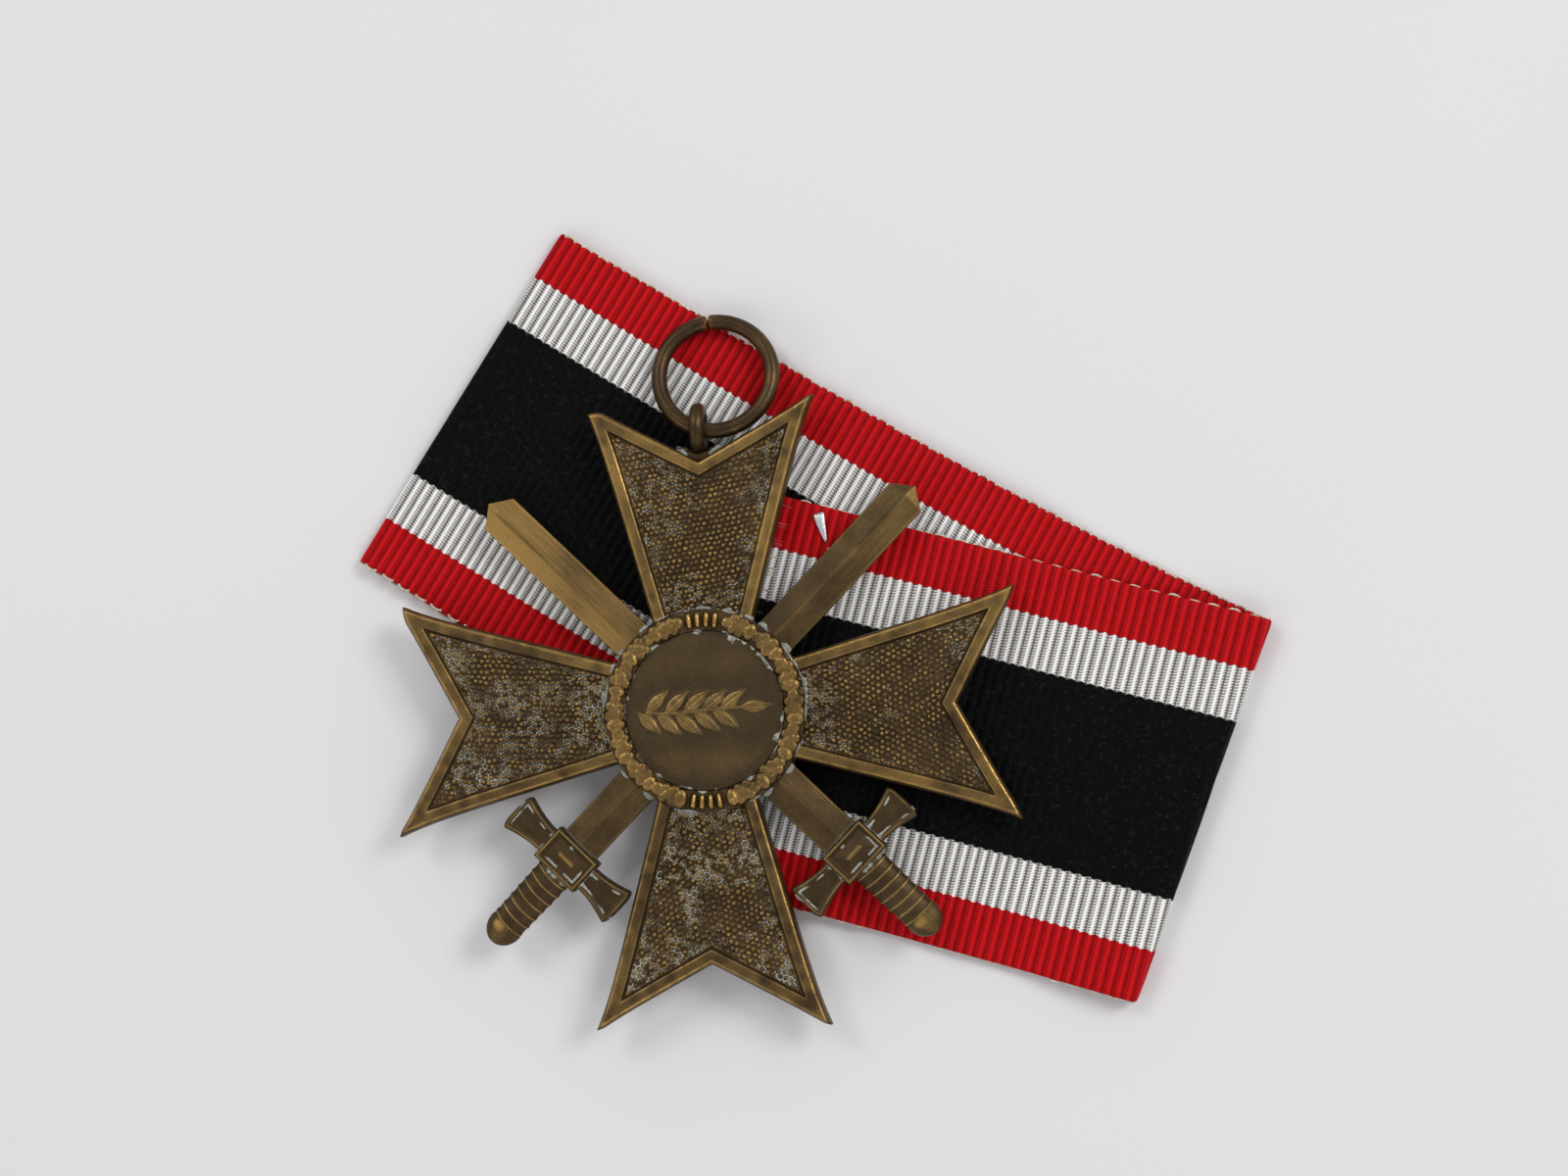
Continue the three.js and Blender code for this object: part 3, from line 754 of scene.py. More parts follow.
@dataclass
class CrossPlate:
    """The struck plate: four flared arms with a V in each end, raised rims and pebbled fields."""

    boss_radius: float = 7.0
    root_half: float = 3.6
    flare: float = 0.277
    point_flick: float = 0.45
    notch_depth: float = 5.05
    notch_hook: float = 0.25
    tip_round: float = 0.30
    rim_width: float = 1.15
    rim_depth: float = 0.35
    bevel_height: float = 0.40
    pebble_pitch: float = 0.46
    pebble_height: float = 0.16
    low: np.ndarray = field(default_factory=lambda: node_box("cross_plate")[0])
    high: np.ndarray = field(default_factory=lambda: node_box("cross_plate")[1])

    @property
    def reach(self) -> float:
        """From the centre to the level of an arm's points."""
        return float(self.high[1])

    @property
    def half(self) -> float:
        """Half the plate's thickness."""
        return float(self.high[2] - self.low[2]) / 2

    @property
    def level(self) -> float:
        """The plate's middle plane above the table."""
        return float(self.high[2] + self.low[2]) / 2

    @property
    def notch_slope(self) -> float:
        """Rise of the V's edge for each millimetre sideways."""
        return (self.notch_depth - self.notch_hook) / float(self.arm_half(np.array(self.reach)))

    def arm_half(self, reach: np.ndarray) -> np.ndarray:
        """Half width: a straight flare plus a flick that grows as the eighth power towards the point.

        Args:
            reach: distances from the centre along the arm.

        Returns:
            The half width at each.
        """
        root = math.sqrt(self.boss_radius**2 - self.root_half**2)
        along = np.clip((reach - self.boss_radius) / (self.reach - self.boss_radius), 0, None)
        return self.root_half + self.flare * (reach - root) + self.point_flick * along**8

    def notch_line(self, x: np.ndarray, arm: Arm) -> np.ndarray:
        """The V's edge: straight from its bottom, hooked up near the points, and rounded off at them.

        Args:
            x: places across the arm.
            arm: which arm, for the cut of its two tips.

        Returns:
            The edge's reach from the centre.
        """
        bottom = self.reach - self.notch_depth
        share = np.abs(x) / float(self.arm_half(np.array(self.reach)))
        line = bottom + self.notch_slope * np.abs(x) + self.notch_hook * share**6
        _, left_cut, right_cut, _, _ = arm.value
        cut = np.where(x < 0, left_cut, right_cut)
        rounded = self.tip_round * ((share - 0.90).clip(0, None) / 0.10) ** 2
        return line - cut * ease((share - 0.80) / 0.22) - rounded

    def arm_grid(self, arm: Arm, field_columns: int, field_rows: int) -> tuple[np.ndarray, ...]:
        """A grid over one arm whose lines follow its rims.

        Columns near a side keep a set distance from it, and columns between share the field's width.
        Rows do the same with the V. Each crossing is found by going back and forth between its row and
        its column until they agree.

        Args:
            arm: which arm.
            field_columns: columns across the field, an odd number.
            field_rows: rows from the boss to the rim of the V.

        Returns:
            x, y and the distance to the nearest edge, for an arm along +Y.
        """
        lines = np.array([0, 0.06, 0.13, 0.2, 0.26, 0.34, 0.5, 0.68, 0.86, 0.97, 1.03, 1.09, 1.15, 1.22, 1.3])
        lines = lines * self.rim_width / 1.15
        slant_side = math.hypot(1, self.flare)
        slant_notch = math.hypot(1, self.notch_slope)
        share = np.linspace(-1, 1, field_columns)[1:-1]
        column_share = np.concatenate([-np.ones(len(lines)), share, np.ones(len(lines))])
        column_inset = np.concatenate([lines, np.full(len(share), lines[-1]), lines[::-1]])
        row_share = np.concatenate([np.linspace(0, 1, field_rows)[:-1], np.ones(len(lines))])[:, None]
        row_inset = np.concatenate([np.full(field_rows - 1, lines[-1]), lines[::-1]])[:, None]
        y = np.linspace(self.boss_radius, self.reach, len(row_share))[:, None] + 0 * column_share
        for _ in range(60):
            x = column_share * (self.arm_half(y) - slant_side * column_inset)
            root = np.sqrt(self.boss_radius**2 - x.clip(-6.5, 6.5) ** 2)
            crossing = root + row_share * (self.notch_line(x, arm) - slant_notch * row_inset - root)
            y = 0.4 * y + 0.6 * crossing
        to_side = (self.arm_half(y) - np.abs(x)) / slant_side
        to_notch = (self.notch_line(x, arm) - y) / slant_notch
        return x, y, np.minimum(to_side, to_notch).clip(0, None)

    def arm_surface(self, arm: Arm, x: np.ndarray, y: np.ndarray, edge: np.ndarray, seed: int) -> tuple:
        """Height, wear and grime over an arm's face.

        The height follows the distance to the edge: up a bevel, over a flat rim, down to the field,
        and there it is the pebbles. Wear is most on the two edges of the rim. Each pebble crown turns
        gold, partly as rubbed metal and partly as a painted highlight, and the rim's inner wall is
        darkened with painted shade. Grime fills the joints of the pebbles in patches, most near the rims
        and the boss.

        Args:
            arm: which arm.
            x, y, edge: what arm_grid gives.
            seed: picks the pebbles and the patches.

        Returns:
            The height above the middle plane, and the attributes.
        """
        _, _, _, rubbed, crusted = arm.value
        rim, field_level = self.half, self.half - self.rim_depth
        steps = np.array([0, 0.08, 0.2, 0.27, 0.36, 0.62, 0.93, 1.01, 1.09, 1.16, 1.22])
        steps = steps * self.rim_width / 1.15
        heights = [
            rim - self.bevel_height, rim - 0.25, rim - 0.06, rim - 0.014, rim, rim, rim - 0.005, rim - 0.04,
            rim - 0.2, field_level + 0.02, field_level - 0.05,
        ]
        z = np.interp(edge, steps, heights)
        in_field = ease((edge - self.rim_width - 0.02) / 0.1)
        stone, joint = pebbles(x, y, self.pebble_pitch, seed)
        fine = patchy(x, y, 0.5, seed + 2)
        z = z + in_field * self.pebble_height * (stone * (0.8 + 0.4 * fine) - 0.30)
        z = z + (1 - in_field) * 0.025 * (patchy(x, y, 1.6, seed + 5) + 0.5 * fine - 1.0)
        z = np.minimum(z, rim)
        cloud = patchy(x, y, 4.0, seed + 1)
        edges = bell(edge, 0.25, 0.07) * (0.2 + 0.7 * fine) + bell(edge, 0.94, 0.05) * 0.3 * cloud
        # Painted shade: the minus bell at 1.08 darkens the rim's inner wall.
        edges = edges - 0.5 * bell(edge, 1.08, 0.06) + 0.35 * (patchy(x, y, 0.7, seed + 8) - 0.5)
        rim_wear_and_shade = rubbed * (0.34 + 0.24 * cloud) + edges - 0.05
        # The pebble crowns turn gold: partly rubbed metal, partly a painted highlight on each crown.
        crown_rub_and_glint = (0.20 + 0.95 * fine) * stone**6 - 0.18
        wear = (1 - in_field) * rim_wear_and_shade + in_field * crown_rub_and_glint
        # Painted shade: the gold is cut on the rim's inner wall; it is cut on the outer wall too, which
        # darkens that wall.
        wear = wear * (1 - 0.75 * bell(edge, 0.0, 0.16)) * (1 - 0.8 * bell(edge, 1.14, 0.07))
        broken = ease((patchy(x, y, 0.36, seed + 9) - 0.36) / 0.2)
        net = 1.3 * np.exp(-joint / 0.14) * broken + 0.35 * (1 - stone) ** 3
        near_rim = np.exp(-(edge - self.rim_width).clip(0, None) / 0.7)
        near_boss = np.exp(-(np.hypot(x, y) - self.boss_radius - 0.7).clip(0, None) / 1.2)
        patch = ease((patchy(x, y, 2.6, seed + 3) + 0.6 * patchy(x, y, 1.1, seed + 4) - 0.55) / 0.6)
        region = crusted * (0.34 + 0.76 * patch) + 0.55 * near_rim * (0.2 + cloud) + 0.55 * near_boss
        grime = in_field * net * region * (0.65 + 0.55 * fine)
        grime = grime + 0.45 * bell(edge, 1.2, 0.05) * (patch - 0.2)
        spread = 0.70 * (patchy(x, y, 0.8, seed + 6) - 0.30)
        speckle = 0.65 + 0.7 * (patchy(x, y, 0.22, seed + 10) - 0.3)
        grime = grime + speckle * ease((self.boss_radius + 0.72 + spread - np.hypot(x, y)) / 0.3)
        return z, {"wear": wear, "grime": grime}

    def make_arm(self, arm: Arm) -> bpy.types.Object:
        """Builds and dresses one arm: a front half and a plainer back half that meet on the middle plane.

        Args:
            arm: which arm.

        Returns:
            The arm.
        """
        build = Build(f"struck_arm_{arm.label}")
        quarter = arm.value[0]
        placed = turn_about("Z", 90.0 * quarter)
        shift = np.array([0, 0, self.level])
        for face, columns, rows in ((0.0, 171, 216), (180.0, 91, 114)):
            x, y, edge = self.arm_grid(arm, columns, rows)
            z, values = self.arm_surface(arm, x, y, edge, 11 + 7 * quarter + int(face))
            if face:
                x, z = -x[:, ::-1], z[:, ::-1]
                y = y[:, ::-1]
                values = {name: value[:, ::-1] for name, value in values.items()}
            build.add_relief(x, y, z, -0.002, values, placed @ turn_about("Y", face), shift)
        piece = build.finish()
        dress(piece, Finish.PLATE.made(), "cross_body", ("cross_plate",))
        return piece

    def make_boss(self) -> bpy.types.Object:
        """Builds and dresses the round boss between the arms: a bevelled wall and two flat faces.

        Returns:
            The boss.
        """
        angle = np.linspace(0, TURN, 193)[:-1]
        radius = self.boss_radius + 0.03
        build = Build("struck_boss")
        rings = []
        for height, inset in ((-1, 0.25), (-0.6, 0), (0.6, 0), (1, 0.25)):
            ring = np.stack([
                (radius - inset) * np.cos(angle),
                (radius - inset) * np.sin(angle),
                np.full_like(angle, self.level + height * (self.half - 0.01)),
            ], axis=-1)
            rings.append(build.add_points(ring, {"wear": 0.12, "grime": 0.5}))
        build.add_quads(np.stack(rings), closed_columns=True)
        build.caps += [rings[0][::-1], rings[-1]]
        piece = build.finish()
        dress(piece, Finish.PLATE.made(), "cross_body", ("cross_plate",))
        return piece

    def make(self) -> None:
        """Builds the four arms and the boss."""
        for arm in Arm:
            self.make_arm(arm)
        self.make_boss()


# ---- centre --------------------------------------------------------------------------------------


@dataclass
class Wreath:
    """A round wreath: a rolled foot ring with clusters of lobed leaves and two ribbed bindings on it."""

    plate: CrossPlate
    face: str
    clusters: int = 7
    binding_half: float = 13.0
    foot_share: float = 0.30
    band: float = 1.65
    bar_radius: float = 6.82
    bar_half: float = 0.66
    bar_pitch: float = 0.66
    bud_height: float = 0.93

    def __post_init__(self) -> None:
        """Takes the wreath's sizes from its plain part."""
        low, high = node_box(f"wreath_{self.face}")
        self.outer = float(high[0])
        self.inner = self.outer - self.band
        self.height = float(high[2] - low[2])

    def lobes(self) -> np.ndarray:
        """The leaves' lobes: angle, radius, half length, half width, height and lean of each.

        Along each cluster there are a round bud, a broad leaf body with two lobes on either side, and
        a short tail that runs under the next bud.

        Returns:
            One row for each lobe.
        """
        rng = np.random.default_rng(5)
        span = (180 - 2 * self.binding_half) / self.clusters
        rows = []
        for side in (-1, 1):
            for k in range(self.clusters):
                start = -90 + self.binding_half + span * k
                for along, radius, length, width, height, lean in (
                    (0.15, 6.84, 0.50, 0.74, 1.00, 0),
                    (0.50, 6.82, 0.80, 0.62, 0.90, 0),
                    (0.40, 7.24, 0.46, 0.40, 0.88, -10),
                    (0.41, 6.34, 0.42, 0.42, 0.86, 10),
                    (0.68, 7.20, 0.44, 0.42, 0.87, -20),
                    (0.69, 6.40, 0.40, 0.42, 0.84, 20),
                    (0.88, 6.82, 0.56, 0.56, 0.86, 0),
                ):
                    angle = start + span * (along + rng.uniform(-0.025, 0.025))
                    angle = angle if side > 0 else 180 - angle
                    scale = rng.uniform(0.95, 1.1)
                    rows.append((
                        angle, radius + rng.uniform(-0.05, 0.05), length * scale, width * scale,
                        height * rng.uniform(0.94, 1.0), lean * side, side,
                    ))
        return np.array(rows)

    def surface(self, angle: np.ndarray, radius: np.ndarray) -> tuple[np.ndarray, np.ndarray]:
        """Height above the plate's face, as a share of the wreath's height, and where its sharp crests are.

        The foot is half an ellipse across the ring. Each lobe is a flat-topped dome, turned by its
        lean, that falls steeply at its outline. The highest lobe wins. Two curled ridges lie on each
        bud. The bindings are rounded ridges across the ring. The crests are a painted highlight, a thin
        bright line just inside the outline of the lobe on top; over the bindings they follow the ridges'
        tops.

        Args:
            angle: degrees round the ring.
            radius: millimetres from the centre.

        Returns:
            The share of the height and the crests, both from 0 to 1. The crests carry a painted highlight.
        """
        middle = (self.inner + self.outer) / 2
        half = (self.outer - self.inner) / 2
        foot = self.foot_share * np.sqrt(np.clip(1 - ((radius - middle) / half) ** 2, 0, 1))
        leaves = np.zeros_like(foot)
        crest = np.zeros_like(foot)
        for at, lobe_radius, length, width, height, lean, side in self.lobes():
            along = np.radians((angle - at + 180) % 360 - 180) * lobe_radius
            out = radius - lobe_radius
            c, s = math.cos(math.radians(lean)), math.sin(math.radians(lean))
            u, v = (c * along + s * out) / length, (-s * along + c * out) / width
            away = u * u + v * v
            dome = height * np.clip(1 - away**1.9, 0, 1) ** 0.5
            if height > self.bud_height:
                for reach in (0.78, 0.42):
                    curl = bell(np.sqrt(away), reach, 0.09) * ease((side * u + 0.25) / 0.3) * (away < 1)
                    dome = dome + 0.10 * curl
            # Painted highlight: a thin bright line just inside each lobe's outline.
            rim = 0.8 * bell(np.sqrt(away), 0.84, 0.07)
            crest = np.where(dome > leaves, rim, crest)
            leaves = np.maximum(leaves, dome)
        for bottom in (90.0, -90.0):
            offset = (angle - bottom + 180) % 360 - 180
            ridge = np.abs(np.sin(np.radians(offset) * middle * math.pi / self.bar_pitch)) ** 1.2
            inside = ease((self.binding_half - 1.3 - np.abs(offset)) / 0.8)
            across = np.clip(1 - np.abs((radius - self.bar_radius) / self.bar_half) ** 3, 0, 1) ** 0.5
            leaves = np.maximum(leaves * (1 - inside), inside * across * (0.30 + 0.68 * ridge))
            crest = np.maximum(crest * (1 - inside), inside * across * ridge**3)
        x, y = radius * np.cos(np.radians(angle)), radius * np.sin(np.radians(angle))
        dents = 0.16 * (patchy(x, y, 0.42, 6) - 0.5) * (leaves > 0.5)
        return np.maximum(foot, (leaves + dents).clip(0, 1)), crest

    def make(self, steps: int, lines: int) -> bpy.types.Object:
        """Builds and dresses the wreath.

        Args:
            steps: stations round the ring.
            lines: lines across it.

        Returns:
            The wreath.
        """
        angle = np.linspace(0, 360, steps + 1)[:-1][:, None]
        radius = np.linspace(self.inner, self.outer, lines)[None, :]
        share, crest = self.surface(angle + 0 * radius, radius + 0 * angle)
        rise = 0.02 + self.height * share
        bottom = -self.plate.rim_depth - 0.02
        radius = np.concatenate([[[self.inner + 0.02]], radius, [[self.outer - 0.01]]], axis=1)
        rise = np.pad(rise, ((0, 0), (1, 1)), constant_values=bottom)
        share = np.pad(share, ((0, 0), (1, 1)), mode="edge")
        crest = np.pad(crest, ((0, 0), (1, 1)))
        x, y = radius * np.cos(np.radians(angle)), radius * np.sin(np.radians(angle))
        points = np.stack([x, y, self.plate.half + rise], axis=-1)
        patch = patchy(x, y, 1.5, 3)
        # High relief is rubbed to gold; the crest term adds the painted highlight along the lobe outlines.
        wear = 0.55 * ease((share - 0.55) / 0.32) + 0.24 * patch - 0.24 + 0.62 * crest
        inner_seam = ease((self.inner + 0.75 * (patchy(x, y, 0.7, 8) - 0.45) - radius) / 0.1)
        outer_seam = ease((radius - self.outer + 0.4 * (patchy(x, y, 0.8, 9) - 0.35)) / 0.1)
        grime = 0.7 * (inner_seam + outer_seam) * (1 - ease((share - 0.4) / 0.3))
        build = Build(f"leaf_wreath_{self.face}")
        turn = turn_about("Y", 0.0 if self.face == "front" else 180.0)
        placed = points @ turn.T + np.array([0, 0, self.plate.level])
        index = build.add_points(placed, {"wear": wear, "grime": grime})
        closed = np.concatenate([index, index[:, :1]], axis=1)
        build.add_quads(closed[:, ::-1], closed_rows=True)
        piece = build.finish()
        dress(piece, Finish.WREATH.made(), "cross_body", (f"wreath_{self.face}",))
        return piece


@dataclass
class CentreDisc:
    """The disc inside a wreath, with a raised laurel sprig on the front one."""

    plate: CrossPlate
    face: str
    sprig_length: float = 10.2
    leaf_pairs: int = 5
    leaf_length: float = 2.65
    leaf_width: float = 1.12
    relief: float = 0.25
    disc_height: float = 0.2

    def leaves(self) -> list[tuple[float, float, float, float, float]]:
        """Each leaf's root x and y, its angle in degrees, its length and its width.

        Returns:
            One row for each leaf.
        """
        rows = []
        start = -self.sprig_length / 2 + 0.35
        pitch = (self.sprig_length - self.leaf_length - 0.5) / self.leaf_pairs
        for k in range(self.leaf_pairs):
            size = 1 - 0.04 * abs(k - 2)
            for side in (-1, 1):
                x = start + pitch * (k + 0.22 * side)
                lean = side * (44 - 2.0 * k)
                rows.append((x, self.stem(x), lean, self.leaf_length * size, self.leaf_width * size))
        end = self.sprig_length / 2 - self.leaf_length * 0.92
        rows.append((end, self.stem(end), 3.0, self.leaf_length * 0.95, self.leaf_width))
        return rows

    def stem(self, x: float) -> float:
        """The stem's gentle S: a sine of one wave over the sprig."""
        return 0.16 * np.sin(TURN * x / self.sprig_length)

    def sprig(self, x: np.ndarray, y: np.ndarray) -> np.ndarray:
        """Relief of the sprig from 0 to 1.

        A leaf is a lens: its half width follows a sine along it, skewed to the root, its top is domed
        across, and a groove runs down its middle. The stem is a thin rounded ridge.

        Args:
            x, y: places on the disc.

        Returns:
            The relief at each place.
        """
        total = np.zeros_like(x)
        for at_x, at_y, lean, length, width in self.leaves():
            c, s = math.cos(math.radians(lean)), math.sin(math.radians(lean))
            u = (c * (x - at_x) + s * (y - at_y)) / length
            v = -s * (x - at_x) + c * (y - at_y)
            half = width / 2 * np.sin(math.pi * u.clip(0, 1) ** 0.85)
            dome = np.sqrt(np.clip(1 - (v / np.maximum(half, 1e-6)) ** 2, 0, 1)) * (half > 0.02)
            dome = dome**0.7 * (0.55 + 0.45 * np.sin(math.pi * u.clip(0, 1)) ** 0.5)
            dome = dome * (1 - 0.4 * bell(v, 0, 0.05))
            total = np.maximum(total, dome)
        inside = ease((self.sprig_length / 2 - 0.5 - np.abs(x)) / 0.25)
        ridge = np.sqrt(np.clip(1 - ((y - self.stem(x)) / 0.17) ** 2, 0, 1))
        return np.maximum(total, 0.8 * ridge * inside)

    def make(self, steps: int) -> bpy.types.Object:
        """Builds and dresses the disc on a square grid pressed round.

        A point (a, b) of the square goes to (a sqrt(1 - b^2/2), b sqrt(1 - a^2/2)), which fills the
        circle.

        Args:
            steps: lines each way.

        Returns:
            The disc.
        """
        low, high = node_box(f"disc_{self.face}")
        radius = float(high[0]) + 0.03
        a = np.linspace(-1, 1, steps)[None, :]
        b = np.linspace(-1, 1, steps)[:, None]
        x, y = radius * a * np.sqrt(1 - b * b / 2), radius * b * np.sqrt(1 - a * a / 2)
        out = np.hypot(x, y)
        relief = self.sprig(x, y) if self.face == "front" else np.zeros_like(x)
        level = self.plate.half + self.disc_height - 0.07 * ease((out - radius + 0.9) / 0.9)
        z = level + relief * self.relief + 0.01 * (patchy(x, y, 1.3, 21) - 0.5)
        soft = np.zeros_like(x)
        if self.face == "front":
            soft = self.sprig(x + 0.09, y - 0.09) + self.sprig(x - 0.09, y + 0.09)
        foot = (soft / 2 * (1 - relief)).clip(0, 1) * (relief < 0.25)
        rubbed = bell(relief, 0.9, 0.35) * (relief > 0.3)
        wear = 0.03 + 0.16 * bell(y, -3.7, 1.1) + 0.08 * bell(y, 3.4, 1.2)
        # Painted shade: the disc darkens towards its edge, as light falls off a dome.
        wear = wear - 0.35 * ease((out - radius + 0.9) / 0.8)
        wear = wear + rubbed * (0.26 + 0.3 * patchy(x, y, 0.5, 24))
        spread = 1.1 * (patchy(x, y, 0.9, 22) - 0.46) + 0.5 * (patchy(x, y, 0.3, 25) - 0.5)
        seam = ease((out - radius + spread) / 0.3) * (0.55 + 0.6 * patchy(x, y, 0.2, 26))
        grime = 0.85 * foot * ease((patchy(x, y, 0.9, 23) - 0.3) / 0.4) + 0.75 * seam
        build = Build(f"centre_disc_{self.face}")
        turn = turn_about("Y", 0.0 if self.face == "front" else 180.0)
        shift = np.array([0, 0, self.plate.level])
        values = {"wear": wear, "grime": grime}
        build.add_relief(x, y, z, self.plate.half - 0.06, values, turn, shift)
        piece = build.finish()
        dress(piece, Finish.DISC.made(), "cross_body", (f"disc_{self.face}",))
        return piece


# ---- swords --------------------------------------------------------------------------------------


@dataclass
class Sword:
    """One end of a crossed sword, modelled along +X and turned to its place."""

    plate: CrossPlate
    angle: float
    blade_half: float = 1.6
    ridge: float = 0.72
    edge: float = 0.30
    shoulder: float = 22.0
    tip: float = 23.1
    guard_reach: float = 15.4
    block_length: float = 2.9
    block_width: float = 4.1
    block_half: float = 0.9
    quillon_half: float = 0.65
    quillon_end: float = 5.5
    grip_half: float = 1.5
    grip_thick: float = 0.85
    pommel_reach: float = 23.9
    ridges: int = 7

    def add_both(self, build: Build, x: np.ndarray, y: np.ndarray, z: np.ndarray, values: dict) -> None:
        """Adds a front half and its mirror-turned back half, which meet on the middle plane.

        Args:
            build: what to add to.
            x, y, z: the front's grid over the middle plane.
            values: attribute values of its points.
        """
        shift = np.array([0, 0, self.plate.level])
        placed = turn_about("Z", self.angle)
        build.add_relief(x, y, z, -0.001, values, placed, shift)
        back = np.stack([x[::-1], -y[::-1], z[::-1]], axis=-1)
        flipped = {name: np.broadcast_to(value, x.shape)[::-1] for name, value in values.items()}
        turned = placed @ turn_about("X", 180.0)
        build.add_relief(back[..., 0], back[..., 1], back[..., 2], -0.001, flipped, turned, shift)

    def add_blade(self, build: Build, start: float, end: float, pointed: bool, gold: float) -> None:
        """Adds a stretch of double-edged blade.

        Its section is a gable: the height falls evenly from the ridge to the edges. A pointed end
        narrows beyond the shoulder, and two end facets cut the gable down by the distance to the end.

        Args:
            build: what to add to.
            start, end: the stretch along the sword's axis.
            pointed: gives it the blunt point.
            gold: how rubbed the metal is, from 0 to 1.
        """
        body, point = np.linspace(start, end - 1.6, 90), np.linspace(end - 1.6, end, 34)[1:]
        rows = np.concatenate([body, point])[None, :]
        middle = np.linspace(-0.92, 0.92, 33)
        share = np.concatenate([[-1, -0.985, -0.95], middle, [0.95, 0.985, 1]])[:, None]
        taper = np.clip((end - rows) / (self.tip - self.shoulder), 0.03, 1)
        half = self.blade_half * (taper if pointed else 1 + 0 * rows)
        y = share * half
        x = rows + 0 * y
        wobble = 0.05 * (patchy(x, y, 3.0, int(self.angle)) - 0.5)
        across = 1 - np.abs(y) / self.blade_half
        crown = across - 0.04 * bell(y, 0, 0.10)
        if pointed:
            facet = end - x - np.abs(y) * (self.tip - self.shoulder) / self.blade_half
            crown = np.minimum(crown, facet.clip(0, 1))
        lip = ease((1 - np.abs(share)) / 0.05)
        z = self.edge - 0.08 * (1 - lip) + (self.ridge - self.edge) * crown + wobble * 0.3
        ridge_wear = 0.16 * bell(y, 0, 0.09) + 0.30 * bell(np.abs(share), 0.965, 0.04)
        tip_wear, lower = 0.0, 0.0
        if pointed:
            tip_wear = 0.30 * ease((x - 13.0) / 9.0)
            # Painted light and shade on the gable: on the blade past 90 degrees the facet towards +y is
            # lightened, on the other blade it is darkened.
            lower = 0.12 + 0.26 * ease(y / 0.4) if self.angle > 90 else -0.20 * ease(y / 0.4)
        wear = gold * (0.06 + tip_wear + lower + 0.16 * patchy(x, y, 2.4, 31)) + ridge_wear
        tarnish = ease((patchy(x, y, 1.1, 32) - 0.35) / 0.3) * ease((x - 15) / 4)
        wear = wear - 0.35 * bell(y, 0.05, 0.16) * tarnish
        spread = 0.9 * (patchy(x, y, 0.8, 33) - 0.30)
        root = 0.8 * ease((start + 0.68 + spread - np.hypot(x, y)) / 0.16)
        if not pointed:
            root = root + 0.45 * np.exp(-(end - 0.3 - x).clip(0, None) / 0.2)
        self.add_both(build, x, y, z, {"wear": wear, "grime": root})

    def make_blade_end(self, name: str, node: str, gold: float, finish: Finish) -> bpy.types.Object:
        """Builds and dresses a blade end.

        Args:
            name: the piece's name.
            node: the plain part that it stands for.
            gold: how rubbed the metal is, from 0 to 1.
            finish: its finish.

        Returns:
            The blade end.
        """
        build = Build(name)
        self.add_blade(build, self.plate.boss_radius, self.tip, True, gold)
        piece = build.finish()
        dress(piece, finish.made(), "cross_body", (node,))
        return piece

    def add_block(self, build: Build) -> None:
        """Adds the guard block: from its edge in, a bevel, a raised frame, a trough and a hipped ridge.

        Args:
            build: what to add to.
        """
        half_x, half_y = self.block_length / 2, self.block_width / 2
        knots = np.array([0, 0.05, 0.1, 0.18, 0.28, 0.36, 0.42, 0.5, 0.58, 0.66, 0.8, 1.0, 1.2, half_x])
        line_x = np.concatenate([-half_x + knots, half_x - knots[-2::-1]])
        middle = np.linspace(-half_y + half_x, half_y - half_x, 14)[1:-1]
        line_y = np.concatenate([-half_y + knots, middle, half_y - knots[::-1]])
        x, y = line_x[None, :] + 0 * line_y[:, None], line_y[:, None] + 0 * line_x[None, :]
        edge = np.minimum(half_x - np.abs(x), half_y - np.abs(y))
        top = self.block_half
        steps = [0, 0.08, 0.14, 0.3, 0.38, 0.46, 0.6, 0.68, half_x]
        drops = np.array([0.22, 0.03, 0, 0, 0.06, 0.2, 0.24, 0.2, 0.01])
        z = np.interp(edge, steps, top - drops)
        z = z + 0.02 * (patchy(x, y, 0.7, 41) - 0.5)
        on_ridge = np.abs(y) < half_y - half_x + 0.1
        wear = 0.85 * bell(edge, 0.2, 0.06) - 0.12 + 0.85 * bell(x, 0, 0.10) * on_ridge
        grime = 0.75 * ease((patchy(x, y, 0.6, 42) - 0.42) / 0.25) * bell(edge, 0.55, 0.15)
        self.add_both(build, x + self.guard_reach, y, z, {"wear": wear, "grime": grime})

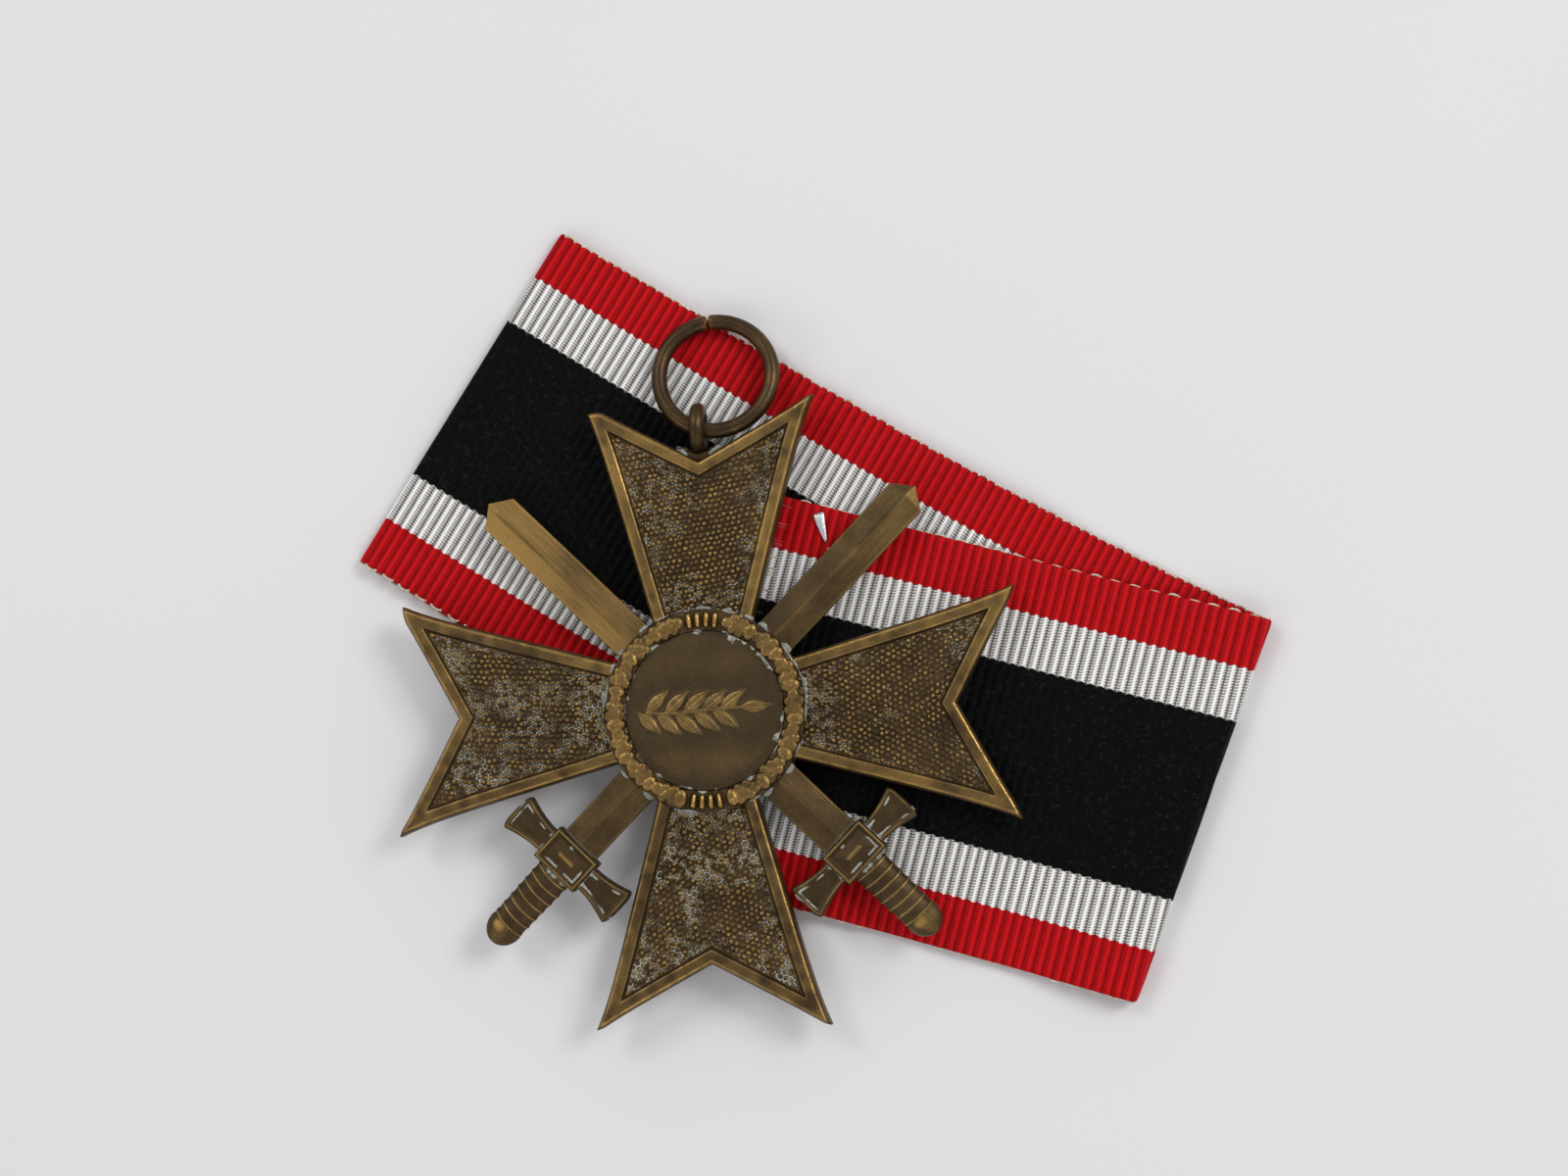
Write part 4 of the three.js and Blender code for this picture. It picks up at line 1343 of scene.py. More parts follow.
    def add_quillon(self, build: Build, side: int) -> None:
        """Adds one arm of the cross guard.

        Its half width grows from the block by the square of the way out, so its sides are
        hollow. Its end is hollowed by a shallow arc. A raised frame runs round a flat middle.

        Args:
            build: what to add to.
            side: 1 or -1.
        """
        root = self.block_width / 2 - 0.15
        way = np.linspace(0, 1, 34)[:, None]
        share = np.concatenate([[-1, -0.96, -0.9], np.linspace(-0.84, 0.84, 21), [0.9, 0.96, 1]])[None, :]
        half = 0.98 + 0.62 * way**2.0 - 0.10 * ((way - 0.93).clip(0, None) / 0.07) ** 2
        reach = self.quillon_end - 0.05 - 0.22 * np.abs(share) ** 5 - root
        y = root + way * reach + 0 * share
        x = share * half
        to_side = (half - np.abs(x)) * 0.93
        edge = np.minimum(to_side, root + reach - y)
        top = self.quillon_half
        z = np.interp(edge, [0, 0.07, 0.13, 0.26, 0.36, 0.46], top - np.array([0.2, 0.03, 0, 0, 0.1, 0.15]))
        z = z + 0.03 * (patchy(x, y, 0.8, 51 + side) - 0.5)
        cloud = patchy(x, y, 0.8, 53 + side)
        wear = 0.85 * bell(edge, 0.18, 0.06) * (0.35 + 0.8 * cloud) + 0.10 * bell(x, 0, 0.3) - 0.12
        grime = 0.8 * ease((patchy(x, y, 0.7, 54 + side) - 0.42) / 0.3) * bell(edge, 0.44, 0.10)
        at_end = ease((patchy(x, y, 0.6, 57 + side) - 0.48) / 0.3)
        grime = grime + 0.9 * np.exp(-(reach + root - y) / 0.35) * at_end
        grime = grime + 0.6 * np.exp(-(y - root - 0.15).clip(0, None) / 0.25)
        if side < 0:
            x, y, z, wear, grime = x[::-1], -y[::-1], z[::-1], wear[::-1], grime[::-1]
        self.add_both(build, x + self.guard_reach, y, z, {"wear": wear, "grime": grime})

    def add_grip(self, build: Build) -> None:
        """Adds the ridged grip and its rounded pommel: a turned profile, flattened across the sword.

        The grip's radius rises to a thin crest once for each ridge, and each ridge bows outwards at
        the middle. It narrows a little on its way, and the pommel is the same profile closed by half
        an ellipse.

        Args:
            build: what to add to.
        """
        start = self.guard_reach + self.block_length / 2 - 0.2
        neck = self.pommel_reach - self.grip_half - 0.1
        dome = neck + (self.pommel_reach - neck) * np.sin(np.linspace(0, 0.995, 34) * math.pi / 2)
        along = np.concatenate([np.linspace(start, neck, 190)[:-1], dome])
        around = np.arange(44) * TURN / 44
        bow = 0.22 * np.abs(np.sin(around)) + 0.10 * np.cos(around)
        phase = (along[:, None] - start - bow) / (neck - start) * self.ridges
        crest = (1 - np.abs(2 * (phase % 1) - 1)) ** 3
        in_grip = ease((neck - 0.05 - along[:, None]) / 0.2)
        way_on = ((along - neck) / (self.pommel_reach - neck)).clip(0, 1)
        ball = np.sqrt(np.clip(1 - way_on**2, 0.0004, 1))[:, None]
        outline = self.grip_half - 0.10 * ease((along[:, None] - start) / (neck - start)) + 0 * around
        radius = (outline - in_grip * 0.085 * (1 - crest)) * ball
        path = np.stack([along, 0 * along, 0 * along], axis=-1)
        side = np.zeros((len(along), len(around), 3))
        up = np.zeros_like(side)
        side[..., 1] = radius * np.cos(around)
        up[..., 2] = radius * np.sin(around) * self.grip_thick / self.grip_half
        placed = turn_about("Z", self.angle)
        shift = np.array([0, 0, self.plate.level])
        across = 3 * np.cos(around) + 0 * along[:, None]
        lengthwise = along[:, None] + 0 * around
        cloud = patchy(lengthwise, across, 1.2, 61)
        # Painted highlight: a small bright spot on the pommel's upper face, just past its neck.
        glint = bell(np.sin(around - 0.3), 1.0, 0.06) * bell(lengthwise, neck + 0.2, 0.32)
        pommel_wear_and_glint = 0.36 * cloud - 0.08 + 0.8 * glint
        wear = in_grip * ((0.85 + 0.5 * cloud) * crest**2.6 - 0.14) + (1 - in_grip) * pommel_wear_and_glint
        crusted = 0.35 + 0.7 * patchy(lengthwise, across, 0.6, 62)
        grime = in_grip * (1 - crest) * np.exp(-(lengthwise - start) / 1.0) * crusted
        values = {"wear": wear, "grime": grime}
        build.add_tube(path @ placed.T + shift, side @ placed.T, up @ placed.T, values)

    def make_hilt(self, name: str, node: str, finish: Finish) -> bpy.types.Object:
        """Builds and dresses a hilt: blade stub, block, cross guard, grip and pommel in one casting.

        Args:
            name: the piece's name.
            node: the plain part that it stands for.
            finish: its finish.

        Returns:
            The hilt.
        """
        build = Build(name)
        stub_end = self.guard_reach - self.block_length / 2 + 0.1
        self.add_blade(build, self.plate.boss_radius, stub_end, False, 0.5)
        self.add_block(build)
        self.add_quillon(build, 1)
        self.add_quillon(build, -1)
        self.add_grip(build)
        piece = build.finish()
        dress(piece, finish.made(), "cross_body", (node,))
        return piece


# ---- wire parts ----------------------------------------------------------------------------------


@dataclass
class HangingEye:
    """The wire eye that stands in the top arm's notch, with a lump of solder at its foot."""

    plate: CrossPlate
    wire: float = 1.1
    fillet_half: float = 1.75

    def make(self) -> bpy.types.Object:
        """Builds the loop as a ring of round wire, and its foot as a spindle of solder along the V.

        Returns:
            The eye.
        """
        low, high = node_box("hanging_eye")
        loop_outer = float(high[2] - low[2]) / 2
        centre = np.array([0, high[1] - loop_outer, (high[2] + low[2]) / 2])
        radius = loop_outer - self.wire / 2
        turn = np.linspace(0, TURN, 97)[:-1]
        out = np.stack([0 * turn, np.cos(turn), np.sin(turn)], axis=-1)
        across = np.tile([1.0, 0, 0], (len(turn), 1))
        build = Build("wire_eye")
        side, up = round_section(out, out, across, self.wire / 2, 28)
        uneven = patchy(4 * np.cos(turn), 4 * np.sin(turn), 1.0, 71)[:, None]
        flank = np.abs(np.sin(np.arange(28) * TURN / 28))[None, :]
        side = side * (1 - 0.03 * uneven[..., None])
        values = {"wear": 0.36 * uneven + 0.10 * flank - 0.14, "grime": 0.05}
        build.add_tube(centre + radius * out, side, up, values, closed=True)
        polar = np.linspace(0.02, math.pi - 0.02, 34)
        angle = np.arange(32) * TURN / 32
        along = -self.fillet_half * np.cos(polar)
        bottom = self.plate.reach - self.plate.notch_depth + 0.30
        rise = self.plate.notch_slope * (np.sqrt(along**2 + 0.16) - 0.4)
        path = np.stack([along, bottom + rise, centre[2] + 0.05 + 0 * along], axis=-1)
        size = np.sin(polar)[:, None, None] ** 0.8
        lump = (1 + 0.25 * (patchy(9 * np.cos(angle), 9 * np.sin(angle), 3.0, 72) - 0.5))[None, :, None]
        side = size * lump * 0.50 * np.cos(angle)[None, :, None] * np.array([0, 1.0, 0])
        up = size * lump * 0.74 * np.sin(angle)[None, :, None] * np.array([0, 0, 1.0])
        crusted = 0.4 + 0.6 * patchy(3 * along[:, None], 2 * angle, 1.0, 73)
        ends = ease((np.abs(along) - 0.5) / 0.5)[:, None] * crusted
        build.add_tube(path, side, up, {"wear": 0.02, "grime": 0.75 * ends + 0 * angle})
        piece = build.finish()
        dress(piece, Finish.WIRE.made(), "cross_body", ("hanging_eye",))
        return piece


@dataclass
class SplitRing:
    """The jump ring: round wire bent to a circle, with a thin split between its flat ends."""

    wire: float = 1.2
    radius: float = 4.35
    sway: float = 1.3
    split_angle: float = 97.0
    split: float = 0.15

    def make(self) -> bpy.types.Object:
        """Builds the wire round its circle, tilted about the eye so that its far side is down.

        The centre lies sideways of the eye by the sway and beyond it by the rest of the radius. The
        tilt is the one at which the ring is as tall as its plain part.

        Returns:
            The ring.
        """
        low, high = node_box("split_ring")
        eye_low, eye_high = node_box("hanging_eye")
        loop = float(eye_high[2] - eye_low[2]) / 2
        hinge = np.array([0, eye_high[1] - loop, (eye_high[2] + eye_low[2]) / 2])
        drop = math.sqrt(self.radius**2 - self.sway**2)
        fall = hinge[2] - (float(low[2]) + self.wire / 2)
        tilt = turn_about("X", -math.degrees(math.asin(fall / (drop + self.radius))))
        gap = self.split / self.radius
        turn = math.radians(self.split_angle) + np.linspace(gap / 2, TURN - gap / 2, 220)
        steps = 32
        out = np.stack([np.cos(turn), np.sin(turn), 0 * turn], axis=-1)
        up_axis = np.tile([0, 0, 1.0], (len(turn), 1))
        from_end = np.minimum(turn - turn[0], turn[-1] - turn) * self.radius
        wire = self.wire / 2 * (1 - 0.14 * np.exp(-from_end / 0.05))
        side, up = round_section(out, out, up_axis, wire, steps)
        wobble = 1 + 0.003 * np.sin(3 * turn + 1.0)
        centre = np.array([self.sway, drop, 0])
        path = (centre + self.radius * wobble[:, None] * out) @ tilt.T + hinge
        around = np.arange(steps) * TURN / steps
        cloud = patchy(6 * np.cos(turn), 6 * np.sin(turn), 1.4, 81)[:, None]
        worn = 0.38 * cloud + 0.08 * np.abs(np.cos(around))[None, :] - 0.16
        worn = worn + 0.25 * np.exp(-from_end / 0.25)[:, None]
        build = Build("jump_ring")
        build.add_tube(path, side @ tilt.T, up @ tilt.T, {"wear": worn, "grime": 0.05})
        piece = build.finish()
        dress(piece, Finish.WIRE.made(), "ring_body", ("split_ring",))
        return piece


# ---- ribbon --------------------------------------------------------------------------------------


@dataclass(frozen=True)
class Fold:
    """A fold in the ribbon: a place on its line, the line's angle, the strip's slant, and its radius."""

    x: float
    y: float
    line_angle: float
    slant: float
    radius: float
    outward_turn: float

    @property
    def line(self) -> np.ndarray:
        """Unit vector along the fold."""
        return heading(self.line_angle)

    @property
    def outward(self) -> np.ndarray:
        """Unit vector out of the fold, away from the layers."""
        return heading(self.line_angle + self.outward_turn)


def heading(angle: float) -> np.ndarray:
    """A unit vector on the table at an angle in degrees."""
    return np.array([math.cos(math.radians(angle)), math.sin(math.radians(angle))])


@dataclass
class Ribbon:
    """A ribbed strip folded twice: a tail on the table, a middle run over it, and a top run over that."""

    width: float = 30.0
    thickness: float = 0.4
    layer_gap: float = 0.1
    rib_pitch: float = 0.755
    rib_height: float = 0.085
    tail_run: float = 40.0
    top_run: float = 35.7
    settle: float = 9.0
    left: Fold = Fold(-18.85, 25.0, 56.4, 0.5, 0.4, 90.0)
    right: Fold = Fold(36.85, -8.43, 68.4, -5.0, 0.8, -90.0)

    def __post_init__(self) -> None:
        """Works out the middle run's plan curve and its length."""
        self.pitch = self.thickness + self.layer_gap
        self.table_level = self.thickness / 2
        start, end = np.array([self.left.x, self.left.y]), np.array([self.right.x, self.right.y])
        start = start - self.left.outward * self.left.radius
        end = end - self.right.outward * self.right.radius
        leave = heading(self.left.line_angle - 90 + self.left.slant)
        arrive = heading(self.right.line_angle - 90 + self.right.slant)
        handle = np.linalg.norm(end - start) / 3
        t = np.linspace(0, 1, 801)[:, None]
        corners = (start, start + leave * handle, end - arrive * handle, end)
        weights = ((1 - t) ** 3, 3 * t * (1 - t) ** 2, 3 * t * t * (1 - t), t**3)
        self.plan = sum(w * c for w, c in zip(weights, corners))
        paces = np.linalg.norm(np.diff(self.plan, axis=0), axis=1)
        self.plan_length = np.concatenate([[0], np.cumsum(paces)])
        self.flat_length = float(self.plan_length[-1])
        self.half_left = math.pi * self.left.radius / 2
        self.half_right = math.pi * self.right.radius / 2

    @property
    def length(self) -> float:
        """The cut length of the strip."""
        bends = 2 * (self.half_left + self.half_right)
        return self.tail_run + self.flat_length + self.top_run + bends

    def middle_level(self, x: np.ndarray, y: np.ndarray) -> np.ndarray:
        """The middle run's level: eased off the left fold, and down to the table past the tail's end.

        Args:
            x, y: plan places in millimetres.

        Returns:
            The level of the cloth's middle at each.
        """
        chord = np.array([self.right.x - self.left.x, self.right.y - self.left.y])
        chord = chord / np.linalg.norm(chord)
        distance = (x - self.left.x) * chord[0] + (y - self.left.y) * chord[1]
        off_fold = (2 * self.left.radius - self.pitch) * (1 - ease(distance / self.settle))
        over_tail = self.pitch * (1 - ease((distance - self.tail_run - 1) / self.settle))
        return self.table_level + off_fold + over_tail

    def middle_plane(self, along: np.ndarray, across: np.ndarray) -> np.ndarray:
        """Plan place of a point of the cloth as if no fold turned it over.

        The middle line is the plan curve, run on straight past its two ends, and a rib stands square
        to it.

        Args:
            along: millimetres from the middle run's start.
            across: millimetres from the middle line.

        Returns:
            The plan places.
        """
        inside = along.clip(0, self.flat_length)
        middle = np.stack([np.interp(inside, self.plan_length, self.plan[:, k]) for k in (0, 1)], axis=-1)
        slope = np.gradient(self.plan, self.plan_length, axis=0)
        direction = np.stack([np.interp(inside, self.plan_length, slope[:, k]) for k in (0, 1)], axis=-1)
        direction = direction / np.linalg.norm(direction, axis=-1, keepdims=True)
        middle = middle + (along - inside)[..., None] * direction
        normal = np.stack([-direction[..., 1], direction[..., 0]], axis=-1)
        return middle + across[..., None] * normal

    def roll(self, plan: np.ndarray, fold: Fold, lift: int) -> tuple[np.ndarray, np.ndarray, np.ndarray]:
        """Rolls the part of a flat plan that lies beyond a fold over it.

        With w the distance past the start of the bend, the cloth follows half a circle while w is less
        than half its circumference, and then runs straight back.

        Args:
            plan: plan places of the flat cloth.
            fold: the fold.
            lift: 1 if the cloth turns up over the fold, -1 if it turns down under it.

        Returns:
            The plan places, the rise over the flat level, and the distance along the run past the bend.
        """
        origin = np.array([fold.x, fold.y]) - fold.outward * fold.radius
        past = (plan - origin) @ fold.outward
        angle = (past / fold.radius).clip(0, math.pi)
        beyond = (past - math.pi * fold.radius).clip(0, None)
        reached = np.where(past > 0, fold.radius * np.sin(angle) - beyond, past)
        rolled = plan + (reached - past)[..., None] * fold.outward
        rise = lift * fold.radius * (1 - np.cos(angle))
        return rolled, rise, beyond

    def middle_surface(self, along: np.ndarray, across: np.ndarray) -> np.ndarray:
        """The strip's middle surface in space, from cloth coordinates.

        Args:
            along: millimetres from the start of the middle run, below 0 on the tail.
            across: millimetres from the middle line, positive towards the ring.

        Returns:
            The points.
        """
        plan = self.middle_plane(along, across)
        over, rise_over, beyond = self.roll(plan, self.right, 1)
        under, rise_under, _ = self.roll(plan, self.left, -1)
        on_right = along > self.flat_length / 2
        place = np.where(on_right[..., None], over, under)
        x, y = place[..., 0], place[..., 1]
        level = self.middle_level(x, y)
        share_right = ease(rise_over / (2 * self.right.radius))
        drop_back = (2 * self.right.radius - self.pitch) * (1 - ease(beyond / self.settle))
        top = level + self.pitch + drop_back
        bend_right = self.table_level + rise_over
        z_right = np.where(beyond > 0, top, np.where(share_right > 0, bend_right, level))
        bend_left = self.table_level + 2 * self.left.radius + rise_under
        z_left = np.where(rise_under < 0, bend_left, level)
        z = np.where(on_right, z_right, z_left)
        return np.stack([x, y, z + self.ripple(along, across)], axis=-1)

    def ripple(self, along: np.ndarray, across: np.ndarray) -> np.ndarray:
        """Slight lift of the cloth off what it lies on: soft patches, none on the tail.

        Args:
            along, across: cloth places in millimetres.

        Returns:
            The lift at each.
        """
        from_fold = along - self.flat_length
        free = ease((from_fold - 4) / 6) * ease((self.top_run - 2 - from_fold) / 8)
        return 0.10 * free * patchy(along, across, 11.0, 91)

    def normals(self, along: np.ndarray, across: np.ndarray) -> np.ndarray:
        """Unit normals of the middle surface, from its slopes both ways over a tenth of a millimetre.

        Args:
            along, across: cloth places in millimetres.

        Returns:
            The unit normals.
        """
        step = 0.05
        du = self.middle_surface(along + step, across) - self.middle_surface(along - step, across)
        dv = self.middle_surface(along, across + step) - self.middle_surface(along, across - step)
        normal = np.cross(du, dv)
        return normal / np.linalg.norm(normal, axis=-1, keepdims=True)

    def stations(self) -> np.ndarray:
        """Places along the strip: six to a rib where it shows, four on the tail, closest at the grooves.

        Returns:
            The places, in millimetres from the start of the middle run.
        """
        first = -(self.tail_run + 2 * self.half_left)
        last = self.flat_length + 2 * self.half_right + self.top_run
        show = [0.0, 0.10, 0.30, 0.5, 0.70, 0.90]
        hide = [0.0, 0.16, 0.5, 0.84]
        ribs = np.arange(math.floor(first / self.rib_pitch), math.ceil(last / self.rib_pitch) + 1)
        rows = [self.rib_pitch * (rib + s) for rib in ribs for s in (hide if rib < -8 else show)]
        rows = np.array(rows)
        inside = rows[(rows > first + 0.05) & (rows < last - 0.05)]
        return np.concatenate([[first], inside, [last]])

    def make_strip(self) -> bpy.types.Object:
        """Builds the woven strip: both ribbed faces, the two selvedges and the cut ends, as one closed skin.

        A face stands off the middle surface by a base and a rib. The rib's height is the 0.7 power of
        a half wave over its pitch, so the grooves between ribs are sharp.

        Returns:
            The strip.
        """
        along = self.stations()
        half = self.width / 2
        middle = np.linspace(-half + 0.5, half - 0.5, 37)
        across = np.concatenate([[-half, -half + 0.12], middle, [half - 0.12, half]])
        u, v = along[:, None] + 0 * across, across[None, :] + 0 * along[:, None]
        middle = self.middle_surface(u, v)
        normal = self.normals(u, v)
        rib = np.abs(np.sin(math.pi * u / self.rib_pitch)) ** 0.7
        base = self.thickness / 2 - self.rib_height - 0.02
        round_edge = np.sqrt(np.clip(1 - ((np.abs(v) - half + 0.25) / 0.25).clip(0, 1) ** 2, 0.09, 1))
        uneven = 0.9 + 0.2 * patchy(u, v, 1.7, 92)
        stand = ((base + self.rib_height * rib * uneven) * round_edge)[..., None]
        build = Build("woven_ribbon")
        values = {"along": u, "across": v}
        upper = build.add_points(middle + stand * normal, values)
        lower = build.add_points(middle - stand * normal, values)
        build.add_quads(np.swapaxes(upper, 0, 1))
        build.add_quads(np.swapaxes(lower, 0, 1)[::-1])
        build.add_quads(np.stack([lower[:, 0], upper[:, 0]]))
        build.add_quads(np.stack([upper[:, -1], lower[:, -1]]))
        build.add_quads(np.stack([upper[0], lower[0]]))
        build.add_quads(np.stack([lower[-1], upper[-1]]))
        piece = build.finish()
        dress(piece, Finish.CLOTH.made(), "ribbon_base", ("ribbon",))
        return piece

    def add_yarn(self, build: Build, path: np.ndarray, radius: np.ndarray, sides: int) -> None:
        """Adds a thin round yarn along a path.

        Args:
            build: what to add to.
            path: n by 3 points.
            radius: a number, or one for each point.
            sides: points round it.
        """
        along = np.gradient(path, axis=0)
        along = along / np.linalg.norm(along, axis=1, keepdims=True)
        side = np.cross(along, np.array([0.13, 0.21, 0.97]))
        side = side / np.linalg.norm(side, axis=1, keepdims=True)
        up = np.cross(along, side)
        s, t = round_section(path, side, up, radius, sides)
        build.add_tube(path, s, t, {})

    def make_loops(self) -> bpy.types.Object:
        """Builds the cream weft loops at every second rib of both selvedges, as half rings over the edge.

        Returns:
            The loops, as one piece.
        """
        build = Build("selvedge_loops")
        first = -(self.tail_run + 2 * self.half_left) + 1.0
        last = self.flat_length + 2 * self.half_right + self.top_run - 1.0
        rng = np.random.default_rng(12)
        turn = np.linspace(0, math.pi, 8)
        for side in (-1, 1):
            for k, at in enumerate(np.arange(first, last, 2 * self.rib_pitch)):
                out = rng.uniform(0.12, 0.26)
                along = at + 0.46 * np.cos(turn) + rng.uniform(-0.06, 0.06)
                across = side * (self.width / 2 - 0.14 + out * np.sin(turn))
                middle = self.middle_surface(along, across)
                lift = (0.12 + rng.uniform(0.0, 0.06)) * (1 - 0.4 * np.sin(turn))[:, None]
                path = middle + lift * self.normals(along, across)
                path[:, 2] = np.maximum(path[:, 2], 0.11)
                self.add_yarn(build, path, 0.10, 6)
        piece = build.finish()
        dress(piece, Finish.CREAM.made(), "ribbon_base")
        return piece

    def make_fray(
        self,
        name: str,
        finish: Finish,
        low: float,
        high: float,
        count: int,
        seed: int,
    ) -> bpy.types.Object:
        """Builds short loose warp ends along both cut ends, over one band of the width.

        Most run on past the cut and sag. On the upper end some curl back over it as a tuft.

        Args:
            name: the piece's name.
            finish: its yarn.
            low, high: the band's distance from the middle line.
            count: threads at each end.
            seed: picks their places.

        Returns:
            The piece.
        """
        build = Build(name)
        rng = np.random.default_rng(seed)
        ends = (
            (-(self.tail_run + 2 * self.half_left), -1),
            (self.flat_length + 2 * self.half_right + self.top_run, 1),
        )
        way = np.linspace(0, 1, 7)
        for at, direction in ends:
            for k in range(count):
                across = rng.uniform(low, high) * rng.choice([-1, 1])
                reach = rng.uniform(0.5, 1.7) if direction > 0 else rng.uniform(0.3, 0.9)
                curled = direction > 0 and k % 3 == 0
                along = at + direction * (way * (reach + 0.3) - 0.3)
                if curled:
                    along = at - 0.9 + 1.1 * np.sin(way * math.pi * rng.uniform(0.6, 0.95))
                drift = across + rng.uniform(-0.5, 0.5) * way**2
                path = self.middle_surface(along, drift)
                lift = rng.uniform(0.02, 0.10) if direction > 0 else 0.0
                path[:, 2] += lift * way + (0.24 * np.sin(way * math.pi) + 0.06 if curled else 0)
                path[:, 2] = np.maximum(path[:, 2], 0.09)
                self.add_yarn(build, path, 0.075 * (1 - 0.5 * way), 5)
        piece = build.finish()
        dress(piece, finish.made(), "ribbon_base")
        return piece

    def make_fibre(self) -> bpy.types.Object:
        """Builds the loose fibre by the lower corner of the right fold: a curl of a little over one turn.

        Returns:
            The fibre.
        """
        build = Build("loose_fibre")
        turn = np.linspace(0, 2.6 * math.pi, 40)
        corner = np.array([self.right.x, self.right.y]) - self.right.line * (self.width / 2 - 0.4)
        centre = corner + np.array([-4.6, 1.35])
        radius = 0.75 - 0.04 * turn
        path = np.stack([
            centre[0] + 0.42 * turn * 0.9 + radius * np.cos(turn),
            centre[1] - 0.10 * turn + 0.7 * radius * np.sin(turn) + 0.05 * turn,
            0.12 + 0.05 * np.sin(turn),
        ], axis=-1)
        self.add_yarn(build, path, 0.04, 5)
        piece = build.finish()
        dress(piece, Finish.PINK.made(), "ribbon_base")
        return piece

    def make(self) -> None:
        strip = self.make_strip()
        extras = [
            self.make_loops(),
            self.make_fray("frayed_ends_red", Finish.RED, 11.1, 14.8, 64, 101),
            self.make_fray("frayed_ends_pale", Finish.CREAM, 7.1, 10.8, 44, 102),
            self.make_fray("frayed_ends_black", Finish.BLACK, 0.3, 6.8, 40, 103),
            self.make_fibre(),
        ]


@dataclass
class Staple:
    """The staple through the layers: a crown underneath, two legs, and points turned in on top."""

    wire: float = 0.40
    span: float = 5.0
    angle: float = -76.0
    point_length: float = 2.3
    broad: float = 0.42
    crown_level: float = 0.14
    bend: float = 0.22
    sink: float = 0.13

    def make(self) -> bpy.types.Object:
        """Builds the wire along its bent path, beaten broad and flat at the bend, narrow at its points.

        Returns:
            The staple.
        """
        low, high = node_box("staple")
        centre = (low + high) / 2
        half, top = self.span / 2, float(high[2]) - self.sink
        bottom, bend = self.crown_level, self.bend
        corner = np.linspace(0, math.pi / 2, 7)
        rise = np.stack([half - bend + bend * np.sin(corner), bottom + bend * (1 - np.cos(corner))], axis=-1)
        turn_in = np.stack([half - bend + bend * np.cos(corner), top - bend + bend * np.sin(corner)], axis=-1)
        tip = np.linspace(half - bend, half - self.point_length, 9)[1:]
        point = np.stack([tip, top + 0.0 * tip], axis=-1)
        right = np.concatenate([[[0.0, bottom]], rise, turn_in, point])
        left = right[::-1] * np.array([-1.0, 1.0])
        flat = np.concatenate([left[:-1], right])
        path = np.stack([flat[:, 0], 0 * flat[:, 0], flat[:, 1]], axis=-1)
        along = np.gradient(path, axis=0)
        along = along / np.linalg.norm(along, axis=1, keepdims=True)
        side = np.tile([0, 1.0, 0], (len(path), 1))
        up = np.cross(along, side)
        from_tip = np.concatenate([[0], np.cumsum(np.linalg.norm(np.diff(path, axis=0), axis=1))])
        from_tip = np.minimum(from_tip, from_tip[-1] - from_tip)
        size = self.wire / 2 * (0.35 + 0.65 * ease(from_tip / (self.point_length - 0.3)))
        breadth = 0.05 + self.broad * (from_tip / self.point_length).clip(0, 1) ** 0.85
        breadth = breadth * (1 - 0.55 * ease((from_tip - self.point_length - 0.2) / 0.7))
        s, t = round_section(path, side, up, size, 16)
        s = s * (breadth / size)[:, None, None]
        placed = turn_about("Z", self.angle)
        shift = np.array([centre[0], centre[1], 0])
        build = Build("bent_staple")
        build.add_tube(path @ placed.T + shift, s @ placed.T, t @ placed.T * 0.6, {})
        piece = build.finish()
        dress(piece, Finish.STEEL.made(), "ribbon_base", ("staple",))
        return piece


# ---- stage ---------------------------------------------------------------------------------------


@dataclass(frozen=True)
class Lamp:
    """A soft square light that faces the object: its place in metres, its side in metres and its watts."""

    name: str
    place: tuple[float, float, float]
    size: float
    power: float


